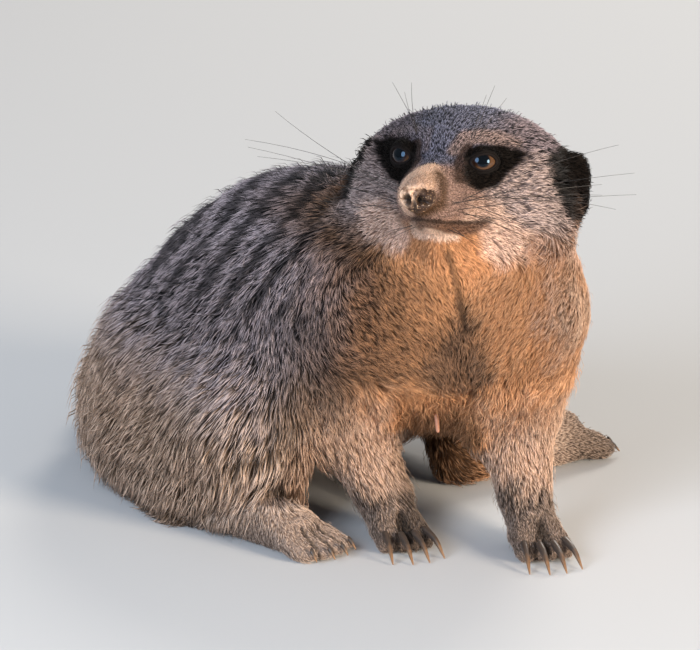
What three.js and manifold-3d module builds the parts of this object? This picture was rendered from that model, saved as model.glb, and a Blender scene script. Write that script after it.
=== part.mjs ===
// A life-size meerkat, sitting on its haunches with its forefeet planted, its chest and face
// turned to -Y and its hindquarters towards -X and +Y, the tail curled behind on the floor.
// Millimetres, +Z up, the origin on the floor under the middle. The outline is that of the
// coat's tips. Flesh is described by fields: functions that give the distance from a point to
// a rounded mass. Neighbouring masses run together, and each piece is the part of that one
// smooth body near its own mass, wrapped ring by ring along a spine inside it.
import * as THREE from "three";
import { mergeVertices } from "three/addons/utils/BufferGeometryUtils.js";
import Module from "manifold-3d";

const wasm = await Module();
wasm.setup();

// Driving dimensions, mm and degrees.
const GAP = 0.3; // between two pieces that meet
const CUT_PROUD = 3; // how far a cutting shape stands out of the body
const EYE_MIDDLE = at(26.6, 4, 113.5); // halfway between the two eyes
const HEAD_YAW = -17;
const HEAD_PITCH = -17; // negative lifts the nose
const EYE = { radius: 4.7, aside: 6.4, gaze: 28, proud: 1.5 }; // proud: how far it stands out
const NOSE = { radii: at(5, 3.6, 3.7), proud: 2.6, drop: 9 };
const EAR = { aside: 29.5, back: 30, drop: 4.5, radii: at(5, 7.8, 11), turn: 24, tilt: -12 };
const FORE_CLAW = { reach: 10.5, thick: 1.45, tip: 0.35, rise: 5.6 };
const HIND_CLAW = { reach: 6.5, thick: 1.5, tip: 0.4, rise: 4.6 };
const TOES = 4;
const JAW_LINE = -21; // where the head ends and the neck starts, in the head's own height
const COLLAR = { place: at(34, 20, 60), lean: at(0.1, 0.25, 1).normalize() }; // chest to neck

// The spine of the trunk, from the rump to the chest, with the body's radius there.
const SPINE = [
  { place: at(-58, 86, 20), radius: 21 },
  { place: at(-41, 74, 26), radius: 29 },
  { place: at(-16, 58, 54.5), radius: 36.5 },
  { place: at(6, 42, 60), radius: 35.5 },
  { place: at(31, 25, 56), radius: 31.5 },
];
const NECK = [
  { place: at(34.5, 20, 74), radius: 28.5 },
  { place: at(35, 25, 92), radius: 26.5 },
];

// Each leg: joints from the body down with the radius there, and the way its foot points,
// in degrees from +X towards +Y. The forearm is slimmer than the fur round the elbow, and the
// crease is the flat cut between a thigh and the shank folded under it.
const FORELEGS = {
  right: {
    shoulder: { place: at(13, 20, 68), radius: 17 },
    elbow: { place: at(-4, 34, 40), radius: 14.5 },
    forearm: 13,
    wrist: { place: at(9.5, 18, 12), radius: 9.4 },
    toes: -70,
  },
  left: {
    shoulder: { place: at(48, 24, 62), radius: 17 },
    elbow: { place: at(46, 34, 37), radius: 15 },
    forearm: 11,
    wrist: { place: at(49.5, 10, 12), radius: 8.3 },
    toes: -74,
  },
};
const HINDLEGS = {
  right: {
    hip: { place: at(-46, 62, 36), radius: 26 },
    haunch: { place: at(-54, 63, 17), radius: 21 },
    skirt: { place: at(-47, 43, 12), radius: 14.5 },
    knee: { place: at(-29, 22, 32), radius: 16.5 },
    heel: { place: at(-41, 30, 11), radius: 13 },
    crease: { place: at(-40, 40, 16), lean: at(0, 0.25, 1).normalize() },
    toes: -45,
  },
  left: {
    hip: { place: at(-22, 88, 38), radius: 24 },
    haunch: { place: at(-20, 98, 20), radius: 18 },
    skirt: { place: at(2, 92, 14), radius: 15 },
    knee: { place: at(29, 90, 38), radius: 15 },
    heel: { place: at(32, 63, 10), radius: 10 },
    crease: { place: at(10, 88, 22), lean: at(-0.2, 0, 1).normalize() },
    toes: 34,
  },
};
const FOREPAW = { palm: 9, toe: 9, ball: 6, width: 15, toeRadius: 2.7, sole: 2.6 };
const HINDPAW = { palm: 35, toe: 12, ball: 7.8, width: 19, toeRadius: 3.9, sole: 2 };

// The tail lies on the floor along part of an ellipse, and thins towards its tip.
const TAIL = {
  middle: at(-6, 116, 0),
  across: 62,
  along: 53,
  from: 200,
  to: -2,
  base: 11.5,
  tip: 3.4,
  stops: 11,
};

function at(x, y, z) {
  return new THREE.Vector3(x, y, z);
}

function radians(degrees) {
  return THREE.MathUtils.degToRad(degrees);
}

// ---- fields ----

// A round bar between two stops, each with its own radius.
function bar(a, b) {
  const ab = b.place.clone().sub(a.place);
  const span = ab.lengthSq();
  return (p) => {
    const ap = p.clone().sub(a.place);
    const t = THREE.MathUtils.clamp(ap.dot(ab) / span, 0, 1);
    return ap.addScaledVector(ab, -t).length() - THREE.MathUtils.lerp(a.radius, b.radius, t);
  };
}

// An egg with three radii, along the axes.
function egg(centre, radii) {
  return (p) => {
    const q = p.clone().sub(centre);
    const near = q.clone().divide(radii).length();
    const steep = q.clone().divide(radii).divide(radii).length();
    return steep < 1e-9 ? -Math.min(radii.x, radii.y, radii.z) : (near * (near - 1)) / steep;
  };
}

// Several masses run together, with a fillet of about the given width.
function blended(width, ...fields) {
  return (p) =>
    fields
      .map((f) => f(p))
      .reduce((a, b) => {
        const h = Math.max(width - Math.abs(a - b), 0) / width;
        return Math.min(a, b) - (h * h * width) / 4;
      });
}

// The part of a body that lies within a margin of one of its masses. Grown by the gap, it
// also stands well out of the body, so that it cuts its neighbours cleanly.
function near(body, mass, margin) {
  return (p, grown = 0) => {
    const out = grown > 0 ? CUT_PROUD : 0;
    return Math.max(body(p) - out, mass(p) - margin - grown);
  };
}

// The same mass, cut flat where it sits on the floor.
function onFloor(field) {
  return (p) => Math.max(field(p), -p.z);
}

// A field that is written in a frame's own axes.
function placed(field, frame) {
  const into = frame.clone().invert();
  return (p) => field(p.clone().applyMatrix4(into));
}

// A chain of bars through stops.
function chain(width, stops) {
  return blended(width, ...stops.slice(1).map((stop, i) => bar(stops[i], stop)));
}

// ---- surfaces ----

// How far the surface of a field lies from a place inside it, in one direction.
function reach(field, from, way) {
  const probe = at(0, 0, 0);
  const value = (d) => field(probe.copy(from).addScaledVector(way, d));
  let inside = 0;
  let far = 0;
  while (far < 150) {
    const v = value(far);
    if (v > 0) break;
    inside = far;
    far += Math.max(-v * 0.7, 0.4);
  }
  for (let i = 0; i < 20; i++) {
    const middle = (inside + far) / 2;
    if (value(middle) > 0) far = middle;
    else inside = middle;
  }
  return far;
}

// Wraps a closed surface round a field: rays fan out from a spine inside it.
function wrap({ field, spine, rings, sides, cap = 3, up = at(0, 0, 1) }) {
  const curve = new THREE.CatmullRomCurve3(spine);
  const points = [];
  const cast = (t, lean, turn) => {
    const from = curve.getPointAt(t);
    const along = curve.getTangentAt(t);
    const side = up.clone().cross(along).normalize();
    const over = along.clone().cross(side);
    const way = side.multiplyScalar(Math.cos(turn)).addScaledVector(over, Math.sin(turn));
    way.multiplyScalar(Math.cos(lean)).addScaledVector(along, Math.sin(lean));
    points.push(from.clone().addScaledVector(way, reach(field, from, way)));
  };
  const stations = [];
  for (let i = 1; i <= cap; i++) stations.push([0, (i / (cap + 1) - 1) * (Math.PI / 2)]);
  for (let i = 0; i <= rings; i++) stations.push([i / rings, 0]);
  for (let i = 1; i <= cap; i++) stations.push([1, (i / (cap + 1)) * (Math.PI / 2)]);
  cast(0, -Math.PI / 2, 0);
  for (const [t, lean] of stations)
    for (let j = 0; j < sides; j++) cast(t, lean, (j / sides) * 2 * Math.PI);
  cast(1, Math.PI / 2, 0);
  const last = points.length - 1;
  const faces = [];
  const corner = (ring, j) => 1 + ring * sides + (j % sides);
  for (let j = 0; j < sides; j++) {
    faces.push(0, corner(0, j + 1), corner(0, j));
    faces.push(last, corner(stations.length - 1, j), corner(stations.length - 1, j + 1));
    for (let i = 0; i + 1 < stations.length; i++) {
      faces.push(corner(i, j), corner(i, j + 1), corner(i + 1, j));
      faces.push(corner(i, j + 1), corner(i + 1, j + 1), corner(i + 1, j));
    }
  }
  return new THREE.BufferGeometry().setFromPoints(points).setIndex(faces);
}

// ---- solids ----

function solid(geometry) {
  const merged = mergeVertices(geometry, 1e-4);
  const triVerts = new Uint32Array(merged.index.array);
  const vertProperties = merged.attributes.position.array;
  return new wasm.Manifold(new wasm.Mesh({ numProp: 3, vertProperties, triVerts }));
}

// A plain field, grown evenly all round.
function swelling(field) {
  return (p, grown = 0) => field(p) - grown;
}

// A piece, and the same piece grown by the gap that its neighbours keep to it.
function wrapped(shape) {
  const grownField = (p) => shape.field(p, GAP);
  return { body: solid(wrap(shape)), grown: solid(wrap({ ...shape, field: grownField })) };
}

function joined(a, b) {
  return { body: a.body.add(b.body), grown: a.grown.add(b.grown) };
}

// Cuts a piece flat, and keeps what lies beyond the plane.
function beyond(piece, place, lean) {
  const way = lean.toArray();
  const offset = lean.dot(place);
  return {
    body: piece.body.trimByPlane(way, offset + GAP / 2),
    grown: piece.grown.trimByPlane(way, offset - GAP / 2),
  };
}

function largest(cut) {
  return cut.decompose().sort((a, b) => b.volume() - a.volume())[0];
}

function without(piece, ...others) {
  return largest(others.reduce((left, other) => left.subtract(other.grown), piece.body));
}

function mesh(name, made, material) {
  const { vertProperties, triVerts } = made.getMesh();
  const geometry = new THREE.BufferGeometry();
  geometry.setAttribute("position", new THREE.BufferAttribute(vertProperties, 3));
  geometry.setIndex(new THREE.BufferAttribute(triVerts, 1));
  geometry.computeVertexNormals();
  const result = new THREE.Mesh(geometry, material);
  result.name = name;
  return result;
}

// ---- finishes ----

const coat = new THREE.MeshStandardMaterial({ color: 0x8d7b69, roughness: 0.95, metalness: 0 });
const darkCoat = new THREE.MeshStandardMaterial({ color: 0x1d1714, roughness: 0.95, metalness: 0 });
const nosePad = new THREE.MeshStandardMaterial({ color: 0x6b4433, roughness: 0.5, metalness: 0 });
const eyeball = new THREE.MeshStandardMaterial({ color: 0x2a1408, roughness: 0.08, metalness: 0 });
const horn = new THREE.MeshStandardMaterial({ color: 0x4a3b32, roughness: 0.45, metalness: 0 });

// ---- masses of the whole body ----

const sides = ["left", "right"];

// The head's own axes start between the eyes: x to its left, -y forward, z up.
const headFrame = new THREE.Matrix4()
  .makeRotationZ(radians(HEAD_YAW))
  .multiply(new THREE.Matrix4().makeRotationX(radians(HEAD_PITCH)))
  .setPosition(EYE_MIDDLE);
const inHead = (x, y, z) => at(x, y, z).applyMatrix4(headFrame);
const skull = egg(at(-0.6, 24, -2.4), at(30, 29, 18));
const forehead = egg(at(0, 7, 1.5), at(14.5, 14, 9));
const muzzle = bar(
  { place: at(0, 3, -8), radius: 10 },
  { place: at(0, -20, -9.3), radius: 5.2 },
);
const upperLips = egg(at(0, -9, -11.6), at(10, 12.5, 5.4));
const lowerJaw = bar(
  { place: at(0, -12.5, -14.6), radius: 4.2 },
  { place: at(0, 9, -16), radius: 10.5 },
);
const cheeks = [1, -1].map((side) => egg(at(side * 16.5, 21, -12), at(16, 18, 13.5)));
const headMass = placed(
  blended(7, skull, forehead, muzzle, upperLips, lowerJaw, ...cheeks),
  headFrame,
);

const trunkMass = chain(16, SPINE);
const neckMass = chain(10, NECK);
const tailStops = Array.from({ length: TAIL.stops }, (_, i) => {
  const t = i / (TAIL.stops - 1);
  const turn = radians(THREE.MathUtils.lerp(TAIL.from, TAIL.to, t));
  const radius = THREE.MathUtils.lerp(TAIL.base, TAIL.tip, t ** 1.15);
  const curl = 1 - 0.12 * t ** 4;
  const place = at(TAIL.across * Math.cos(turn), TAIL.along * Math.sin(turn), 0);
  place.multiplyScalar(curl).add(TAIL.middle).setZ(radius - 0.4);
  return { place, radius };
});
const tailRoot = chain(8, [{ place: at(-52, 84, 24), radius: 18 }, ...tailStops.slice(0, 3)]);
const upperArms = sides.map((s) => bar(FORELEGS[s].shoulder, FORELEGS[s].elbow));
const forearms = sides.map((s) => {
  const { elbow, forearm, wrist } = FORELEGS[s];
  return bar({ place: elbow.place, radius: forearm }, wrist);
});
const thighs = sides.map((s) => {
  const { hip, haunch, skirt, knee } = HINDLEGS[s];
  return chain(10, [hip, haunch, skirt, knee, hip]);
});
const shanks = sides.map((s) => bar(HINDLEGS[s].knee, HINDLEGS[s].heel));
const core = onFloor(
  blended(13, blended(15, trunkMass, neckMass), ...upperArms, ...thighs, tailRoot),
);
const upperBody = blended(8, core, headMass);

// ---- eyes, nose and ears ----

// A place on the head's coat, met by going one way from a place in the head, in head axes.
function onHead(from, way) {
  const worldWay = way.clone().transformDirection(headFrame);
  const distance = reach(headMass, from.clone().applyMatrix4(headFrame), worldWay);
  return from.clone().addScaledVector(way, distance);
}

function eye(side) {
  const gaze = radians(EYE.gaze);
  const way = at(side * Math.sin(gaze), -Math.cos(gaze), 0);
  const surface = onHead(at(side * EYE.aside, 6, 0).addScaledVector(way, -4), way);
  const centre = surface.addScaledVector(way, EYE.proud - EYE.radius).applyMatrix4(headFrame);
  return wrapped({
    field: swelling((p) => p.distanceTo(centre) - EYE.radius),
    spine: [centre.clone().add(at(0, 0.4, 0)), centre.clone().add(at(0, -0.4, 0))],
    rings: 1,
    sides: 10,
    cap: 2,
  });
}

function nose() {
  const front = onHead(at(0, -10, -NOSE.drop), at(0, -1, 0));
  const centre = at(0, front.y - NOSE.proud + NOSE.radii.y, -NOSE.drop);
  return wrapped({
    field: swelling(placed(egg(centre, NOSE.radii), headFrame)),
    spine: [0.8, -0.8].map((y) => inHead(0, centre.y + y, centre.z)),
    rings: 1,
    sides: 12,
    cap: 2,
  });
}

function ear(side) {
  const turn = new THREE.Euler(radians(EAR.tilt), 0, radians(side * EAR.turn), "ZXY");
  const frame = new THREE.Matrix4()
    .makeRotationFromEuler(turn)
    .setPosition(at(side * EAR.aside, EAR.back, -EAR.drop))
    .premultiply(headFrame);
  const shell = egg(at(0, 0, 0), EAR.radii);
  const hollow = egg(at(side * 4, -6, 0.5), at(3.4, 4.5, 6.5));
  return wrapped({
    field: swelling(placed((q) => Math.max(shell(q), -hollow(q)), frame)),
    spine: [at(-side, 2, -4).applyMatrix4(frame), at(-side, 2, 4).applyMatrix4(frame)],
    rings: 3,
    sides: 12,
    cap: 2,
    up: at(0, 1, 0),
  });
}

const eyes = { left: eye(1), right: eye(-1) };
const ears = { left: ear(1), right: ear(-1) };
const noseTip = nose();

// ---- head, neck and trunk ----

const headUp = at(0, 0, 1).transformDirection(headFrame);
const jawLine = inHead(0, 0, JAW_LINE);
const wholeHead = wrapped({
  field: near(upperBody, headMass, 6),
  spine: [
    inHead(0, 33, -6),
    inHead(0, 20, -6),
    inHead(0, 6, -7),
    inHead(0, -8, -9),
    inHead(0, -16, -10),
  ],
  rings: 12,
  sides: 20,
  cap: 2,
});
const wholeNeck = wrapped({
  field: near(upperBody, neckMass, 9),
  spine: [at(33, 21, 62), at(34, 22, 78), at(35, 25, 94)],
  rings: 4,
  sides: 16,
  cap: 1,
  up: at(0, 1, 0),
});
const head = beyond(wholeHead, jawLine, headUp);
const underHead = beyond(wholeNeck, jawLine, headUp.clone().negate());
const neck = beyond(underHead, COLLAR.place, COLLAR.lean);
const trunk = wrapped({
  field: near(upperBody, trunkMass, 8),
  spine: SPINE.map((s) => s.place),
  rings: 11,
  sides: 18,
  cap: 2,
});

// ---- legs ----

// A length of limb between two joints, cut from the body that it belongs to.
function limb(field, from, to, rings, sides, margin) {
  return wrapped({
    field,
    spine: [from.place, from.place.clone().lerp(to.place, 0.5), to.place],
    rings,
    sides,
    cap: 2,
    up: at(0.3, 0.4, 0.86),
  });
}

// A foot's own axes start under its wrist or heel: x along the toes, y across, z up.
function footFrame(joint, toes) {
  const { x, y } = joint.place;
  return new THREE.Matrix4().makeRotationZ(radians(toes)).setPosition(at(x, y, 0));
}

function toeStops(paw, i) {
  const step = (i + 0.5) / TOES - 0.5;
  const across = step * (paw.width - 2 * paw.toeRadius) * 1.3;
  const long = paw.toe + (Math.abs(step) < 0.25 ? 2 : 0);
  const r = paw.toeRadius;
  return [
    { place: at(paw.palm, across, r + paw.sole), radius: r },
    { place: at(paw.palm + long * 0.5, across * 1.15, r + paw.sole), radius: r },
    { place: at(paw.palm + long, across * 1.3, r * 0.85), radius: r * 0.88 },
  ];
}

function foot(joint, paw, frame) {
  const ankle = { place: at(0, 0, joint.place.z), radius: joint.radius * 0.88 };
  const balls = [1, -1].map((side) => ({
    place: at(paw.palm, side * (paw.width / 2 - paw.ball), paw.ball - 0.6),
    radius: paw.ball,
  }));
  const sole = placed(blended(5, bar(ankle, balls[0]), bar(ankle, balls[1])), frame);
  const palm = {
    field: onFloor(sole),
    spine: [
      ankle.place,
      at(paw.palm / 2, 0, (joint.place.z + paw.ball) / 2),
      at(paw.palm, 0, paw.ball),
    ],
    rings: Math.round(paw.palm / 12) + 2,
    sides: 10,
    cap: 2,
  };
  const toes = Array.from({ length: TOES }, (_, i) => {
    const stops = toeStops(paw, i);
    return {
      field: onFloor(placed(chain(1.5, stops), frame)),
      spine: stops.map((s) => s.place),
      rings: 2,
      sides: 6,
      cap: 1,
    };
  });
  const made = (shape, grown) => {
    const spine = shape.spine.map((p) => p.clone().applyMatrix4(frame));
    return solid(wrap({ ...shape, spine, field: (p) => shape.field(p) - grown }));
  };
  const join = (grown) => toes.reduce((all, toe) => all.add(made(toe, grown)), made(palm, grown));
  return { body: join(0), grown: join(GAP) };
}

// A claw curves down from the front of its toe to the floor.
function claw(paw, shape, i, frame) {
  const [, knuckle, tip] = toeStops(paw, i).map((s) => s.place);
  const way = tip.clone().sub(knuckle).setZ(0).normalize();
  const root = tip.clone().setZ(shape.rise);
  const drop = shape.rise - shape.tip - 0.1;
  const steps = 4;
  const stops = Array.from({ length: steps + 1 }, (_, s) => {
    const t = s / steps;
    const place = root.clone().addScaledVector(way, shape.reach * Math.sin((t * Math.PI) / 2.2));
    place.z -= drop * (1 - Math.cos((t * Math.PI) / 2));
    const radius = THREE.MathUtils.lerp(shape.thick, shape.tip, t ** 1.4);
    return { place: place.applyMatrix4(frame), radius };
  });
  const field = chain(0.4, stops);
  const spine = stops.map((s) => s.place);
  return { body: solid(wrap({ field, spine, rings: 2, sides: 5, cap: 1 })) };
}

const meerkat = new THREE.Group();
const legPieces = [];

// Adds the named lengths of a leg, its foot and its claws, each clear of what is there already.
function addLeg(prefix, lengths, footName, paw, clawShape, joint, toes) {
  const frame = footFrame(joint, toes);
  const shapes = { ...lengths, [footName]: foot(joint, paw, frame) };
  for (const [name, piece] of Object.entries(shapes)) {
    const clear = without(piece, head, ears.left, ears.right, ...legPieces);
    meerkat.add(mesh(`${prefix}_${name}`, clear, coat));
    legPieces.push(piece);
  }
  for (let i = 0; i < TOES; i++) {
    const piece = without(claw(paw, clawShape, i, frame), shapes[footName]);
    meerkat.add(mesh(`${prefix}_claw_${i + 1}`, piece, horn));
  }
}

sides.forEach((side, i) => {
  const { elbow, wrist, toes } = FORELEGS[side];
  const field = near(onFloor(blended(8, core, forearms[i])), forearms[i], 5.5);
  const forearm = limb(field, elbow, wrist, 4, 10);
  addLeg(`fore_${side}`, { forearm }, "paw", FOREPAW, FORE_CLAW, wrist, toes);
});

sides.forEach((side, i) => {
  const { hip, knee, heel, crease, toes } = HINDLEGS[side];
  const hindleg = onFloor(blended(9, core, shanks[i]));
  const upper = limb(near(hindleg, thighs[i], 5), hip, knee, 4, 16);
  const lower = limb(near(hindleg, shanks[i], 3), knee, heel, 3, 12);
  const thigh = beyond(upper, crease.place, crease.lean);
  const shank = beyond(joined(upper, lower), crease.place, crease.lean.clone().negate());
  addLeg(`hind_${side}`, { thigh, shank }, "foot", HINDPAW, HIND_CLAW, heel, toes);
});

// ---- tail ----

const tailField = onFloor(blended(4, tailRoot, chain(3, tailStops)));
const lengths = { tail_base: [0, 3], tail_middle: [3, 7], tail_tip: [7, 10] };
const tailPieces = [];
for (const [name, [first, last]] of Object.entries(lengths)) {
  const stops = tailStops.slice(first, last + 1);
  const piece = wrapped({
    field: near(tailField, chain(3, stops), 0.5),
    spine: stops.map((s) => s.place),
    rings: Math.round(1.5 * (last - first)),
    sides: 9,
    cap: 1,
  });
  const others = [...tailPieces.slice(-1), ...legPieces];
  meerkat.add(mesh(name, without(piece, ...others), name === "tail_tip" ? darkCoat : coat));
  tailPieces.push(piece);
}

// ---- the body between them ----

const faceParts = [eyes.left, eyes.right, noseTip, ears.left, ears.right];
meerkat.add(mesh("head", without(head, ...faceParts), coat));
meerkat.add(mesh("nose", noseTip.body, nosePad));
for (const side of sides) {
  meerkat.add(mesh(`eye_${side}`, eyes[side].body, eyeball));
  meerkat.add(mesh(`ear_${side}`, ears[side].body, darkCoat));
}
const around = [head, ears.left, ears.right, ...legPieces, tailPieces[0]];
meerkat.add(mesh("neck", without(neck, ...around), coat));
meerkat.add(mesh("trunk", without(trunk, neck, ...around), coat));

// The origin lies on the floor under the middle of the whole outline.
const outline = new THREE.Box3().setFromObject(meerkat);
const middle = outline.getCenter(at(0, 0, 0));
meerkat.position.set(-middle.x, -middle.y, -outline.min.z);

export default meerkat;
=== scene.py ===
import math

import bpy
import numpy as np
from mathutils import Matrix, Vector
from mathutils.bvhtree import BVHTree
from mathutils.kdtree import KDTree


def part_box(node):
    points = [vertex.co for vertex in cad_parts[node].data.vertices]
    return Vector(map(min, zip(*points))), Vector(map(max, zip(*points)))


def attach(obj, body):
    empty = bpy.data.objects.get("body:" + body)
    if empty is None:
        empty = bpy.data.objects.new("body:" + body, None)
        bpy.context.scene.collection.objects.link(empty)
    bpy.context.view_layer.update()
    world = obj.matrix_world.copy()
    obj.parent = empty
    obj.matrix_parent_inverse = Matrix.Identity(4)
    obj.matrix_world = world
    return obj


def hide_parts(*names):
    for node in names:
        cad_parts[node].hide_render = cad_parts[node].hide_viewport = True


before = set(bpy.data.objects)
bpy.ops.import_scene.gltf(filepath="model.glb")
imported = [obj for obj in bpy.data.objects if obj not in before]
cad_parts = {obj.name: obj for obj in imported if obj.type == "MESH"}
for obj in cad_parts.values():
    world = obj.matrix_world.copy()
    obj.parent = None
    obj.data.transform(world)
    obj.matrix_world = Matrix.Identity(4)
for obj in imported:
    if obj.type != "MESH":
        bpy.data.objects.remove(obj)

bpy.context.view_layer.update()
mm = 0.001
chance = np.random.default_rng(11)  # drawn from for every tuft

# Where things are.

headPlace = {
    "middle": (26.22, -71.92, 113.5),  # halfway between the eyes, mm
    "turn": -17,  # degrees about the upright
    "lift": -17,  # negative lifts the nose
}
headTurn = np.array(
    Matrix.Rotation(math.radians(headPlace["turn"]), 3, "Z")
    @ Matrix.Rotation(math.radians(headPlace["lift"]), 3, "X")
)
headMiddle = np.array(headPlace["middle"])


def intoHead(places):  # row frame in mm to the head's own: x left, -y forward, z up
    return (np.asarray(places, float) - headMiddle) @ headTurn


def outOfHead(places):
    return np.asarray(places, float) @ headTurn.T + headMiddle


def middleOf(node):  # of a solid, mm
    low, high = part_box(node)
    return np.array((low + high) / 2) / mm


sides = {"left": 1, "right": -1}  # the animal's, with the sign of x in the head's axes
eyeMiddles = {side: middleOf("eye_" + side) for side in sides}
noseMiddle = middleOf("nose")
claws = {
    foot: [f"{foot}_claw_{toe}" for toe in range(1, 5)]
    for foot in ["fore_left", "fore_right", "hind_left", "hind_right"]
}
bareNodes = ["nose", "eye_left", "eye_right", *sum(claws.values(), [])]
fleshNodes = sorted(set(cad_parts) - set(bareNodes))


def pawMiddle(foot):  # of the paw, or of the hind foot, that carries these claws
    return middleOf(foot + ("_paw" if "fore" in foot else "_foot"))


# Camera and lights.

view = {
    "target": (-0.0004, -0.0759, 0.0668),
    "elevation": 17,
    "distance": 1.5,
    "width": 0.1944,  # what the frame is wide at the target, m
    "sensor": 36,
}
studio = {
    "floor": (0.60, 0.60, 0.60),
    "floorSize": 30,  # m
    "air": (0.80, 0.87, 0.97),
    "airStrength": 0.36,
    # name: place, size, watts, colour
    "lamps": {
        "key": ((1.05, -0.88, 0.35), 0.5, 31, (1.0, 0.86, 0.69)),
        "fill": ((-0.70, -0.98, 0.58), 0.8, 17, (0.74, 0.85, 1.0)),
        "rim": ((0.35, 0.95, 0.85), 0.5, 8, (1.0, 0.93, 0.84)),
    },
}


def deselectAll():
    if bpy.context.object and bpy.context.object.mode != "OBJECT":
        bpy.ops.object.mode_set(mode="OBJECT")
    bpy.ops.object.select_all(action="DESELECT")


def choose(*objects):  # the last one becomes the active one
    deselectAll()
    for one in objects:
        one.select_set(True)
    bpy.context.view_layer.objects.active = objects[-1]


def dress(piece, material):  # the chosen piece, smooth and of one material
    bpy.ops.object.shade_smooth()
    piece.data.materials.clear()
    piece.data.materials.append(material)


def addObject(name, data):
    made = bpy.data.objects.new(name, data)
    bpy.context.scene.collection.objects.link(made)
    return made


def copyOf(node):
    return addObject(node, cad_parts[node].data.copy())


def basicShape(kind, name, **settings):
    deselectAll()
    getattr(bpy.ops.mesh, f"primitive_{kind}_add")(**settings)
    bpy.ops.object.transform_apply(location=True, rotation=True, scale=True)
    bpy.context.object.name = bpy.context.object.data.name = name
    return bpy.context.object


def joined(name, parts):
    choose(*parts)
    bpy.ops.object.join()
    bpy.context.object.name = bpy.context.object.data.name = name
    return bpy.context.object


def editAll(step, **settings):  # one step of edit mode, on the whole mesh
    bpy.ops.object.mode_set(mode="EDIT")
    bpy.ops.mesh.select_all(action="SELECT")
    step(**settings)
    bpy.ops.object.mode_set(mode="OBJECT")


def placeCamera():
    tilt = math.radians(view["elevation"])
    back = Vector((0, -math.cos(tilt), math.sin(tilt))) * view["distance"]
    data = bpy.data.cameras.new("camera")
    data.sensor_width = view["sensor"]
    data.lens = view["sensor"] * view["distance"] / view["width"]
    camera = addObject("camera", data)
    camera.location = Vector(view["target"]) + back
    camera.rotation_euler = (-back).to_track_quat("-Z", "Y").to_euler()
    bpy.context.scene.camera = camera


def placeLamps():
    aim = Vector(view["target"])
    for name, (place, size, watts, colour) in studio["lamps"].items():
        data = bpy.data.lights.new(name, "AREA")
        data.shape = "DISK"
        data.size = size
        data.energy = watts
        data.color = colour
        lamp = addObject(name, data)
        lamp.location = place
        lamp.rotation_euler = (aim - Vector(place)).to_track_quat("-Z", "Y").to_euler()
    world = bpy.data.worlds.new("studio")
    world.use_nodes = True
    sky = world.node_tree.nodes["Background"]
    sky.inputs["Color"].default_value = (*studio["air"], 1)
    sky.inputs["Strength"].default_value = studio["airStrength"]
    bpy.context.scene.world = world


placeCamera()
placeLamps()
bpy.context.scene.view_settings.view_transform = "Standard"
print("camera and lights placed")


# Sums on shader sockets, written as Python sums.

class Wire:
    def __init__(self, tree, socket):
        self.tree = tree
        self.socket = socket

    def node(self, kind, output=0, settings=None, **inputs):  # any node, fed by input names
        made = self.tree.nodes.new(kind)
        for key, value in (settings or {}).items():
            setattr(made, key, value)
        for key, value in inputs.items():
            name = key.replace("_", " ")
            slot = next(s for s in made.inputs if s.name == name and s.enabled)
            feed(self.tree, slot, value)
        return Wire(self.tree, made.outputs[output])

    def maths(self, operation, *values):
        vectors = any(isVector(v) for v in values)
        made = self.tree.nodes.new("ShaderNodeVectorMath" if vectors else "ShaderNodeMath")
        made.operation = operation
        for slot, value in zip(made.inputs, values):
            if vectors and not isVector(value) and not isinstance(value, Wire):
                value = (value,) * 3
            feed(self.tree, slot, value)
        return Wire(self.tree, made.outputs["Vector" if vectors else "Value"])

    def __add__(self, other):
        return self.maths("ADD", self, other)

    def __radd__(self, other):
        return self.maths("ADD", other, self)

    def __sub__(self, other):
        return self.maths("SUBTRACT", self, other)

    def __mul__(self, other):
        return self.maths("MULTIPLY", self, other)

    def __rmul__(self, other):
        return self.maths("MULTIPLY", other, self)

    def ramp(self, low, high):  # smoothly from 0 at low to 1 at high
        return self.node(
            "ShaderNodeMapRange",
            settings={"interpolation_type": "SMOOTHSTEP"},
            Value=self, From_Min=low, From_Max=high,
        )

    def mixed(self, other, share):  # this colour, giving way to another
        made = self.tree.nodes.new("ShaderNodeMix")
        made.data_type = "RGBA"
        factor, first, second = made.inputs[0], made.inputs[6], made.inputs[7]
        feed(self.tree, factor, share)
        feed(self.tree, first, self)
        feed(self.tree, second, other)
        return Wire(self.tree, made.outputs[2])


def isVector(value):
    if isinstance(value, Wire):
        return value.socket.type in ("VECTOR", "RGBA")
    return isinstance(value, (tuple, list))


def feed(tree, slot, value):
    if isinstance(value, Wire):
        tree.links.new(value.socket, slot)
    elif isinstance(value, (tuple, list)) and slot.type == "RGBA":
        slot.default_value = (*value[:3], 1)
    else:
        slot.default_value = value


class Finish:  # a material, and what drives its shader
    def __init__(self, name, **constants):
        self.material = bpy.data.materials.new(name)
        self.material.use_nodes = True
        self.tree = self.material.node_tree
        self.shader = self.tree.nodes["Principled BSDF"]
        self.start = Wire(self.tree, None)
        self.drive(**constants)

    def drive(self, **inputs):
        for key, value in inputs.items():
            feed(self.tree, self.shader.inputs[key.replace("_", " ")], value)

    def colour(self, *rgb):
        made = self.tree.nodes.new("ShaderNodeRGB")
        made.outputs[0].default_value = (*rgb, 1)
        return Wire(self.tree, made.outputs[0])

    def attribute(self, name, output="Fac"):
        made = self.tree.nodes.new("ShaderNodeAttribute")
        made.attribute_name = name
        return Wire(self.tree, made.outputs[output])

    def place(self):
        return self.start.node("ShaderNodeTexCoord", output="Object")

    def noise(self, scale, detail=3, roughness=0.5, where=None):
        return self.start.node(
            "ShaderNodeTexNoise",
            Vector=where or self.place(), Scale=scale, Detail=detail, Roughness=roughness,
        )

    def bump(self, height, strength, distance):
        made = self.start.node(
            "ShaderNodeBump", Height=height, Strength=strength, Distance=distance
        )
        self.drive(Normal=made)
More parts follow.
